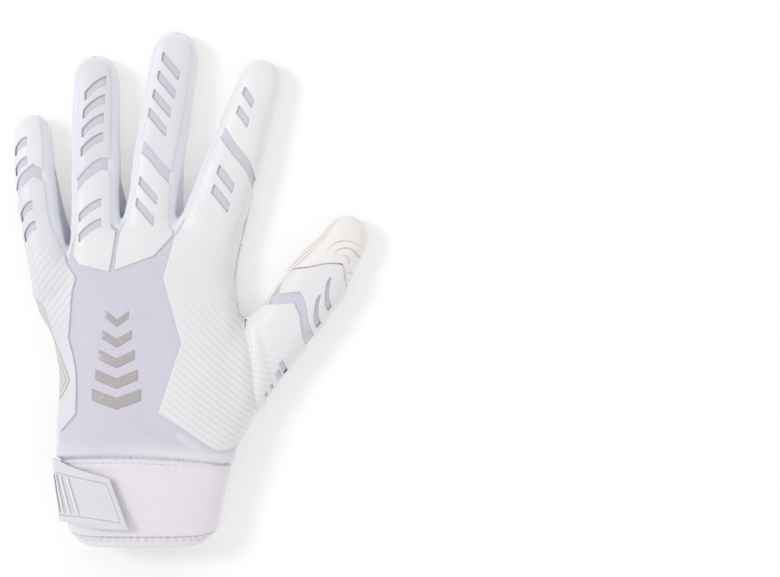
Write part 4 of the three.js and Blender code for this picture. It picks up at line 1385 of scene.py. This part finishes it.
def seam_roll(name, sizes):
    """The rolled seam up the left side of a finger and round its tip. The index finger's ends under its
    film."""
    rows = [ROLL_FOOT[name], *ROLL_ROWS, *([] if name == "index" else ROLL_TIP)]
    plan = even_path(smooth_outline(on_limb(name, rows), closed=False), 0.7)
    points, normal = on_face(glove_value, plan)
    profile = roll_profile(sizes.roll_width / MM, sizes.roll_height / MM, 0.5)
    made, faces = sweep(points, normal, profile, tapered(len(points), 14))
    return made, outward(made, faces)


# Cuff, hem, strap and tab
def sleeve_points(turn, along, grow):
    """Points of the cuff's sleeve at a turn round it, a share along it and a distance out from it: across =
    half * |cos|^0.8 and up by |sin|^0.8 over the waist, both by 0.44 under it; the upper edge follows the
    wrist seam and the corners of the hem are drawn up."""
    c, s = np.cos(turn), np.sin(turn)
    power = 2 / np.where(s >= 0, TOP_POWER, UNDER_POWER)
    left = read(CUFF_CURVES, "left", along) * CUFF_WIDTH - grow
    right = read(CUFF_CURVES, "right", along) * CUFF_WIDTH + grow
    height = read(CUFF_CURVES, "height", along) * CUFF_DEPTH + 2 * grow
    share, rise = np.sign(c) * np.abs(c) ** power, np.abs(s) ** power
    waist = height * WAIST
    up = np.where(s >= 0, waist + (height - waist) * rise, waist * (1 - rise))
    x = (left + right) / 2 + share * (right - left) / 2
    corner = HEM_CORNER * np.clip((along - 0.82) / 0.18, 0, 1) * np.abs(share) ** CORNER_POWER
    y = corner - along * SLEEVE + seam_arc(x) * np.clip(1 - along, 0, 1) ** 2
    return np.stack(np.broadcast_arrays(x, y, CUFF_LIFT - grow + up), -1)


def sleeve_value(x, y, z):
    """Signed distance, roughly, from the sleeve: (q - 1) / slope of its section."""
    along = np.clip(-y / SLEEVE, 0, 1)
    left = read(CUFF_CURVES, "left", along) * CUFF_WIDTH
    right = read(CUFF_CURVES, "right", along) * CUFF_WIDTH
    height = read(CUFF_CURVES, "height", along) * CUFF_DEPTH
    q, slope = section_value(x - (left + right) / 2, z - CUFF_LIFT, (right - left) / 2, height)
    return (q - 1) / slope


def even_turns(start, end, step):
    """Turns from start to end that stand evenly along the sleeve's section."""
    turn = np.linspace(start, end, 4001)
    points = sleeve_points(turn, 0.4, 0.0)
    run = np.concatenate([[0], np.cumsum(np.linalg.norm(np.diff(points, axis=0), axis=1))])
    return np.interp(np.linspace(0, run[-1], int(run[-1] / step) + 1), run, turn)


def wall_section(start, end, inner, outer, step, edge):
    """Closed section of a wall as rows (along, grow): an outer and an inner run joined by rounded corners."""
    quarter = np.linspace(0, math.pi / 2, 5)
    r, sin, cos = edge / SLEEVE, np.sin(quarter), np.cos(quarter)
    count = max(3, int((end - start) * SLEEVE / step))
    run = np.linspace(start + r, end - r, count)[1:-1]
    parts = [
        (start + r - r * cos, outer - edge + edge * sin),
        (run, np.full(len(run), outer)),
        (end - r + r * sin, outer - edge + edge * cos),
        (end - r + r * cos, inner + edge - edge * sin),
        (run[::-1], np.full(len(run), inner)),
        (start + r - r * sin, inner + edge - edge * cos),
    ]
    return np.hstack([np.stack(p) for p in parts])


def sleeve_wall(section, turns, relief=None, closed=True):
    """A wall round the sleeve: its section carried through the turns, with a relief (x, y, z) on its outer
    half."""
    along, grow = section[:, :, None]
    points = sleeve_points(turns[None], along, grow)
    if relief:
        outer = (grow > grow.mean()).astype(float)
        points = sleeve_points(turns[None], along, grow + relief(*np.moveaxis(points, -1, 0)) * outer)
    n, m = points.shape[:2]
    points = points.reshape(-1, 3)
    faces = [grid_faces(n, m, close_rows=True, close_columns=closed)]
    if not closed:
        faces += [(np.arange(n) * m)[None, ::-1], (np.arange(n) * m + m - 1)[None]]
    return points, outward(points, faces)


def cuff_relief(x, y, z):
    """Face of the cuff: a groove and a soft welt below the wrist seam, a swell beside the strap and the hem,
    and slow waves of the neoprene."""
    below = y - seam_arc(x)
    tuck = -0.7 * np.clip(below + 0.4, 0, 1)
    value = -0.3 * bell(below + 1.9, 0.45) + 0.22 * bell(below + 0.9, 0.6) + 0.25 * bell(below + 3.4, 1.1)
    value += 0.2 * bell(y + 33.0, 1.3)
    value += 0.16 * np.sin(x / 6.1 + y / 9.0 + 0.4) * np.sin(y / 5.3 - x / 23.0)
    value += 0.07 * np.sin(x / 2.7 + 1.0) * np.sin(y / 3.1 + x / 9.0)
    return value + tuck


def hem_relief(x, y, z):
    """Face of the hem: two stitch grooves, and small puckers across it."""
    value = -0.22 * bell(y + HEM_ROWS[0], 0.35) - 0.22 * bell(y + HEM_ROWS[1], 0.35)
    return value + 0.08 * np.sin(x * 1.45) * bell(y + 36.2, 2.5) + 0.05 * np.sin(x * 0.6 + 2.0)


TAB_OUTLINE = [
    (-46, 0.0), (-38.3, -0.2), (-33.7, -2.2), (-13.8, -8.2), (-4.9, -31.7), (-20.7, -31.0), (-32.2, -28.8),
    (-39.1, -28.2), (-46, -28.2),
]
TAB_FIELD = [
    (-48, -5.7), (-39.9, -5.8), (-32.2, -7.3), (-14.9, -10.6), (-8.6, -28.3), (-28.4, -25.9), (-38.3, -25.6),
    (-48, -25.4),
]
TAB_RIBS = [
    [(-34.0, -7.4), (-28.5, -25.3)], [(-37.4, -6.8), (-32.4, -25.4)], [(-39.8, -6.3), (-35.6, -25.3)],
    [(-41.4, -6.1), (-38.0, -25.3)],
]
TAB_CORNER = (-5.5, -31.5)
TAB_SEAT, TAB_PLATE, TAB_RIM = 1.8, 1.25, 0.75


def tab_maps():
    """Plan maps of the tab: signed distance to its outline, height of its face over the seat, and where its
    beads and grooves are. The face is a plate with a rim round a sunk field. A fine bead follows the rim, and
    ribs between beads and grooves run across the field."""
    outline = plan_region(smooth_outline(TAB_OUTLINE, 12), 0.2)
    face = plan_region(smooth_outline(TAB_FIELD, 12), 0.2, 8.0)
    x, y, field = face.x, face.y, face.values
    inside = 1 / (1 + np.exp((field + 0.9) / 0.15))
    bead, groove = bell(field + 0.75, 0.24), bell(field + 0.2, 0.24)
    height = TAB_PLATE + TAB_RIM / (1 + np.exp(-field / 0.13))
    for rib in TAB_RIBS:
        gap = line_distance(x, y, rib)
        bead = np.maximum(bead, inside * bell(gap - 0.2, 0.3))
        groove = np.maximum(groove, inside * bell(gap - 0.95, 0.28))
        height += 0.5 * inside * bell(gap, 0.55)
    maps = [outline, face]
    for values in (bead, groove):
        made = PlanMap(face.low, face.low, 1.0)
        made.pitch, made.values = face.pitch, values
        maps.append(made)
    face.values = height + 0.35 * bead - 0.25 * groove
    return maps


def tab_surface(sizes):
    """The moulded tab: the layer on the strap under its face, with its free corner lifted. Returns its points
    and faces, and where the painted highlight of its beads and the painted shade of its grooves go."""
    outline, face, bead, groove = tab_maps()

    def lifted(x, y, z):
        away = np.hypot(x - TAB_CORNER[0], y - TAB_CORNER[1])
        return sleeve_value(x, y, z) - 1.1 * bell(away, 9.0)

    def field(x, y, z):
        value = layer(lifted(x, y, z), TAB_SEAT, TAB_SEAT + face(x, y))
        return blend_max(value, np.maximum(outline(x, y), CUFF_LIFT + CUFF_DEPTH * WAIST - z), 0.7)

    low, high = node_room(["strap_tab"], 2.0)
    points, faces = level_surface(field, low, high + (3, 0, 3.5), 0.26)
    x, y, z = points.T
    # Where the painted highlight and painted shade go: on the tab's face only.
    upper = np.clip(lifted(x, y, z) - TAB_SEAT - 0.8, 0, 1)
    return points, faces, {"bead": bead(x, y) * upper, "groove": groove(x, y) * upper}


def plate(plan, low, high):
    """A closed plate on the glove's face from a grid of plan points: the same grid at two levels over the
    face, joined round its border."""
    n, m = plan.shape[:2]
    layers = [on_face(glove_value, plan.reshape(-1, 2), lift)[0] for lift in (high, low)]
    index = np.arange(n * m).reshape(n, m)
    ring = np.concatenate([index[0, :-1], index[:-1, -1], index[-1, :0:-1], index[:0:-1, 0]])
    after = np.roll(ring, -1)
    sides = np.stack([ring, after, after + n * m, ring + n * m], 1)
    top = grid_faces(n, m)
    points, faces = np.vstack(layers), [top[:, ::-1], top + n * m, sides]
    return points, outward(points, faces)


def chevron(half, y, thick, drop=4.0):
    """Plan grid of a chevron: (across, drop * |across| / half + thick * share) over its middle point."""
    across, share = np.meshgrid(np.linspace(-half, half, 45), np.linspace(0, 1, 9), indexing="ij")
    return np.stack([across - 11.0, y + drop * np.abs(across) / half + thick * share], -1)


def wrist_line(x, below):
    """Plan points along the wrist seam, a distance below it."""
    return np.stack([x, seam_arc(x) - below], 1)


def hem_line(reach, y):
    """Plan points straight across the hem."""
    x = np.arange(-reach, reach + 0.2, 0.5)
    return np.stack([x, np.full(len(x), y)], 1)


# Operators
class GLOVE_OT_palm(bpy.types.Operator):
    """Build the printed palm and the thumb's palm side"""

    bl_idname = "glove.palm"
    bl_label = "Palm"

    def execute(self, context):
        sizes = context.scene.glove_sizes
        for node, region in (("palm", palm_region), ("palm_thumb", thumb_region)):
            low, high = node_room([node])
            points, faces = cloth_surface(region, low, high, sizes)
            layers = print_layers(points)
            make_piece(f"{node}_skin", points, faces, material("palm"), "palm_print", [node], layers)
        return {"FINISHED"}


class GLOVE_OT_back(bpy.types.Operator):
    """Build the knit back of the hand and fingers"""

    bl_idname = "glove.back"
    bl_label = "Back"

    def execute(self, context):
        low, high = node_room(["back"])
        points, faces = cloth_surface(back_region, low, high, context.scene.glove_sizes)
        x, y = points[:, 0], points[:, 1]
        # Painted highlight: a band over the welt above the wrist seam, growing towards the thumb side, and a
        # streak along a fold.
        above = y - seam_arc(x)
        drawn = np.where(above > 2.6, bell(above - 2.6, 3.6), bell(above - 2.6, 1.6))
        drawn = drawn * (0.35 + 0.65 * np.clip((x + 12) / 30, 0, 1))
        fold = 0.6 * bell(line_distance(x, y, [(17.5, 10.5), (28.0, 3.0)]), 1.8)
        painted_highlight = {"painted_highlight": np.maximum(drawn, fold)}
        make_piece("back_knit_shell", points, faces, material("back"), "back_knit", ["back"], painted_highlight)
        return {"FINISHED"}


class GLOVE_OT_side_strips(bpy.types.Operator):
    """Build the knit strips between the fingers, a little proud of the back, with the low webs they end in"""

    bl_idname = "glove.side_strips"
    bl_label = "Side strips"

    def execute(self, context):
        for (left, right), side in SIDES.items():
            node = f"fourchette_{left}_{right}"
            low, high = node_room([node])
            web = WEB_MAPS[left]

            def field(x, y, z):
                value = layer(glove_value(x, y, z), -1.1, 0.18)
                value = blend_max(value, np.maximum(side(x, y), PALM_SEAM + CLEAR - z), 0.3)
                return blend_min(value, blend_max(web(x, y), np.abs(z - 6.0) - 0.9, 0.5), 0.5)

            points, faces = level_surface(field, low, high + (0, 0, 8), 0.5)
            x, y, z = points.T
            # Painted shade: darker low down near each crotch, and on the low webs under it.
            crotch = on_hand([{"little": (1.0, -0.6), "ring": (1.02, -0.08), "middle": (1.0, 0.46)}[left]])[0]
            away = np.hypot(x - crotch[0], 0.5 * (y - crotch[1]))
            facing = np.clip((10.5 - z) / 3.5, 0, 1) * bell(away, 13.0)
            sunk = np.clip((7.4 - z) / 0.6, 0, 1) * np.clip(0.6 - web(x, y), 0, 1)
            crotch_shade = {"crotch_shade": WEB_DEPTH[left] * np.maximum(0.8 * facing, sunk)}
            name = f"side_strip_{left}_{right}"
            make_piece(name, points, faces, material("side"), "side_knit", [node], crotch_shade)
        return {"FINISHED"}


class GLOVE_OT_films(bpy.types.Operator):
    """Build the moulded films with their slanted windows and ribs"""

    bl_idname = "glove.films"
    bl_label = "Films"

    def execute(self, context):
        for node in FILMS:
            points, faces, layers = film_surface(node, context.scene.glove_sizes)
            name = node.replace("film_", "film_over_")
            make_piece(name, points, faces, material("film"), "film", [node], layers)
        return {"FINISHED"}


class GLOVE_OT_seam_rolls(bpy.types.Operator):
    """Build the rolled seams beside the fingers"""

    bl_idname = "glove.seam_rolls"
    bl_label = "Seam rolls"

    def execute(self, context):
        for name in ("ring", "middle", "index"):
            points, faces = seam_roll(name, context.scene.glove_sizes)
            make_piece(f"seam_roll_{name}", points, faces, material("side"), "side_knit")
        return {"FINISHED"}


PIPING = [
    (50.6, 127.4), (48.3, 116), (45.1, 102.1), (42.5, 89.7), (41.5, 79.1), (42.4, 70.8), (44.3, 64.9),
    (48.5, 63.7), (54, 67), (58.4, 72.2),
]
# Where the tacks stand, and the lean of each pair in degrees.
CROTCHES = [(-38.2, 92.5, 8), (-10.4, 105.3, 4), (17.0, 107.2, 14)]


class GLOVE_OT_piping(bpy.types.Operator):
    """Sew the cream piping between index finger and thumb, and the tacks in the crotches of the fingers"""

    bl_idname = "glove.piping"
    bl_label = "Piping and tacks"

    def execute(self, context):
        sizes = context.scene.glove_sizes
        plan = even_path(smooth_outline(PIPING, 80, closed=False), 0.6)
        path, normal = on_face(glove_value, plan, 0.5)
        points, faces = sweep(path, normal, roll_profile(1.1, 0.5, 0.6), tapered(len(path), 12))
        make_piece("thumb_web_piping", points, outward(points, faces), material("piping"), "palm_print")
        parts = []
        for x, y, lean in CROTCHES:
            for side in (-1, 1):
                turn = math.radians(lean + 24 * side)
                ahead = np.array([math.sin(turn), math.cos(turn)])
                for step in range(7):
                    middle = np.array([x, y]) + ahead * (step - 1.5) * 0.62
                    across = np.array([ahead[1], -ahead[0]]) * 1.1
                    plan = middle + np.linspace(-1, 1, 5)[:, None] * across
                    path, normal = on_face(glove_value, plan, 0.25)
                    parts.append(stitches(path, normal, 2.0, sizes.thread / MM * 1.1, 0.0))
        points, faces = join(parts)
        make_piece("crotch_tacks", points, outward(points, faces), material("tack"), "side_knit")
        return {"FINISHED"}


class GLOVE_OT_cuff(bpy.types.Operator):
    """Build the neoprene cuff and its folded hem"""

    bl_idname = "glove.cuff"
    bl_label = "Cuff"

    def execute(self, context):
        turns = even_turns(0, 2 * math.pi, 0.75)[:-1]
        hem = HEM_START / SLEEVE
        wall = wall_section(-2.2 / SLEEVE, hem - 0.05 / SLEEVE, -2.0, 0.0, 0.5, 0.6)
        sleeve = sleeve_wall(wall, turns, cuff_relief)
        make_piece("cuff_sleeve", *sleeve, material("neoprene"), "neoprene", ["cuff"])
        fold = wall_section(hem, 1.0, -2.0, 0.3, 0.3, 0.9)
        folded = sleeve_wall(fold, turns, hem_relief)
        make_piece("cuff_hem_fold", *folded, material("tape"), "hem_tape", ["cuff_hem"])
        return {"FINISHED"}


class GLOVE_OT_strap(bpy.types.Operator):
    """Build the strap that comes round the wrist from the palm side"""

    bl_idname = "glove.strap"
    bl_label = "Strap"

    def execute(self, context):
        turns = even_turns(math.radians(140), math.radians(270.2), 0.8)
        band = wall_section(2.0 / SLEEVE, 28.0 / SLEEVE, 0.3, 1.7, 0.6, 0.5)

        def face(x, y, z):
            return -0.15 * bell(y + 4.2, 0.4) - 0.15 * bell(y + 25.8, 0.4) + 0.05 * np.sin(x / 2.1 + z / 1.7)

        points, faces = sleeve_wall(band, turns, face, closed=False)
        raised = np.clip((points[:, 2] - 12.0) / 8.0, 0, 1) ** 2
        points[:, 1] -= 3.0 * raised * np.clip((points[:, 1] + 28) / 26, 0, 1)
        make_piece("strap_band", points, faces, material("tape"), "hem_tape", ["strap"])
        return {"FINISHED"}


class GLOVE_OT_tab(bpy.types.Operator):
    """Build the moulded tab that closes the strap"""

    bl_idname = "glove.tab"
    bl_label = "Strap tab"

    def execute(self, context):
        points, faces, layers = tab_surface(context.scene.glove_sizes)
        rubber = material("rubber")
        make_piece("strap_tab_moulded", points, faces, rubber, "tab_rubber", ["strap_tab"], layers)
        return {"FINISHED"}


class GLOVE_OT_binding(bpy.types.Operator):
    """Build the bound edge beside the wrist"""

    bl_idname = "glove.binding"
    bl_label = "Bound edge"

    def execute(self, context):
        y = np.arange(-0.6, 22.6, 0.6)
        edge = on_hand(np.stack([np.clip(y / 90, 0, 1), np.full(len(y), -1.0)], 1))[:, 0]
        path = np.stack([edge + 0.3 + 0.08 * np.sin(y * 1.1), y, np.full(len(y), 10.6)], 1)
        normal = np.tile([-0.83, 0.0, 0.56], (len(y), 1))
        turn = np.linspace(0, 2 * math.pi, 17)[:-1]
        across = 2.3 * np.sign(np.cos(turn)) * np.abs(np.cos(turn)) ** 0.6
        profile = np.stack([across, 0.35 + 0.85 * np.sin(turn)], 1)
        points, faces = sweep(path, normal, profile, tapered(len(y), 3))
        faces = outward(points, faces)
        make_piece("bound_edge", points, faces, material("tape"), "hem_tape", ["side_binding"])
        return {"FINISHED"}


class GLOVE_OT_stitching(bpy.types.Operator):
    """Sew a row on each side of the wrist seam and two along the hem"""

    bl_idname = "glove.stitching"
    bl_label = "Stitching"

    def execute(self, context):
        sizes = context.scene.glove_sizes
        size, thread = sizes.stitch / MM, sizes.thread / MM
        rows = (
            (glove_value, wrist_line(np.arange(-36, 36.2, 0.5), -1.1), 0.1),
            (sleeve_value, wrist_line(np.arange(-29, 36.2, 0.5), 1.9), -0.2),
            (sleeve_value, hem_line(29, -HEM_ROWS[0]), 0.15),
            (sleeve_value, hem_line(27, -HEM_ROWS[1]), 0.15),
        )
        parts = []
        for field, row, lift in rows:
            path, normal = on_face(field, row, lift)
            parts.append(stitches(path, normal, size, thread))
        points, faces = join(parts)
        make_piece("stitch_rows", points, outward(points, faces), material("thread"), "hem_tape")
        return {"FINISHED"}


BADGE_ROWS = 5
BADGE_START = 22.8
BADGE_STEP = 9.3


class GLOVE_OT_badge(bpy.types.Operator):
    """Print a plain stack of chevrons on the back of the hand"""

    bl_idname = "glove.badge"
    bl_label = "Badge"

    def execute(self, context):
        parts = []
        for row in range(BADGE_ROWS):
            grid = chevron(11.2 - 1.5 * row, BADGE_START + BADGE_STEP * row, 5.2 - 0.45 * row)
            parts.append(plate(grid, -0.3, 0.16))
        points, faces = join(parts)
        make_piece("badge_print", points, faces, material("badge"), "back_knit")
        return {"FINISHED"}


class GLOVE_OT_stage(bpy.types.Operator):
    """Set up the floor, the lights, the surround and the camera"""

    bl_idname = "glove.stage"
    bl_label = "Stage"

    def execute(self, context):
        scene, stage = context.scene, context.scene.glove_stage
        size = 3.0
        mesh = bpy.data.meshes.new("floor")
        low = -0.0002
        corners = [(-size, -size, low), (size, -size, low), (size, size, low), (-size, size, low)]
        mesh.from_pydata(corners, [], [(0, 1, 2, 3)])
        floor = bpy.data.objects.new("floor", mesh)
        scene.collection.objects.link(floor)
        paint = bpy.data.materials.new("stage_white")
        paint.use_nodes = True
        shader = next(n for n in paint.node_tree.nodes if n.type == "BSDF_PRINCIPLED")
        shader.inputs["Base Color"].default_value = (0.7, 0.7, 0.7, 1)
        shader.inputs["Emission Color"].default_value = (1, 1, 1, 1)
        shader.inputs["Emission Strength"].default_value = 0.3
        shader.inputs["Roughness"].default_value = 0.9
        shader.inputs["Specular IOR Level"].default_value = 0.1
        mesh.materials.append(paint)
        world = bpy.data.worlds.new("surround")
        world.use_nodes = True
        back = next(n for n in world.node_tree.nodes if n.type == "BACKGROUND")
        back.inputs["Color"].default_value = (1, 1, 1, 1)
        back.inputs["Strength"].default_value = stage.world
        scene.world = world
        for name, place, width, power in (
            ("key", (-2.7, 0.9, 2.8), 1.1, stage.key),
            ("fill", (2.4, -0.9, 3.2), 2.4, stage.key * 0.15),
        ):
            light = bpy.data.lights.new(name, "AREA")
            light.shape, light.size, light.energy = "DISK", width, power
            lamp = bpy.data.objects.new(name, light)
            lamp.location = place
            lamp.rotation_euler = (-Vector(place)).to_track_quat("-Z", "Y").to_euler()
            scene.collection.objects.link(lamp)
        distance = stage.distance
        camera = bpy.data.cameras.new("view")
        camera.sensor_width = 36.0
        camera.lens = 36.0 * (distance / MM - 8.0) / (780 * 0.46)
        camera.clip_end = 20
        eye = bpy.data.objects.new("view", camera)
        eye.location = (0.0918, -0.0003, distance)
        scene.collection.objects.link(eye)
        scene.camera = eye
        scene.view_settings.view_transform = "Standard"
        return {"FINISHED"}


class GLOVE_PT_panel(bpy.types.Panel):
    """The glove's sizes, colours and pieces"""

    bl_idname = "GLOVE_PT_panel"
    bl_label = "Receiver glove"
    bl_space_type = "VIEW_3D"
    bl_region_type = "UI"
    bl_category = "Glove"

    def draw(self, context):
        for step in STEPS:
            self.layout.operator(step.bl_idname)
        for group in (context.scene.glove_sizes, context.scene.glove_colours, context.scene.glove_stage):
            column = self.layout.column(align=True)
            for key in group.__annotations__:
                column.prop(group, key)


STEPS = (
    GLOVE_OT_palm,
    GLOVE_OT_back,
    GLOVE_OT_side_strips,
    GLOVE_OT_films,
    GLOVE_OT_seam_rolls,
    GLOVE_OT_piping,
    GLOVE_OT_cuff,
    GLOVE_OT_strap,
    GLOVE_OT_tab,
    GLOVE_OT_binding,
    GLOVE_OT_stitching,
    GLOVE_OT_badge,
    GLOVE_OT_stage,
)
GROUPS = {"glove_sizes": GloveSizes, "glove_colours": GloveColours, "glove_stage": GloveStage}


def register():
    for made in (*GROUPS.values(), *STEPS, GLOVE_PT_panel):
        bpy.utils.register_class(made)
    for key, group in GROUPS.items():
        setattr(bpy.types.Scene, key, PointerProperty(type=group))


def unregister():
    for key in GROUPS:
        delattr(bpy.types.Scene, key)
    for made in (GLOVE_PT_panel, *reversed(STEPS), *reversed(GROUPS.values())):
        bpy.utils.unregister_class(made)


def main():
    """Build every piece and the stage."""
    register()
    for step in STEPS:
        module, name = step.bl_idname.split(".")
        getattr(getattr(bpy.ops, module), name)()


if __name__ == "__main__":
    main()
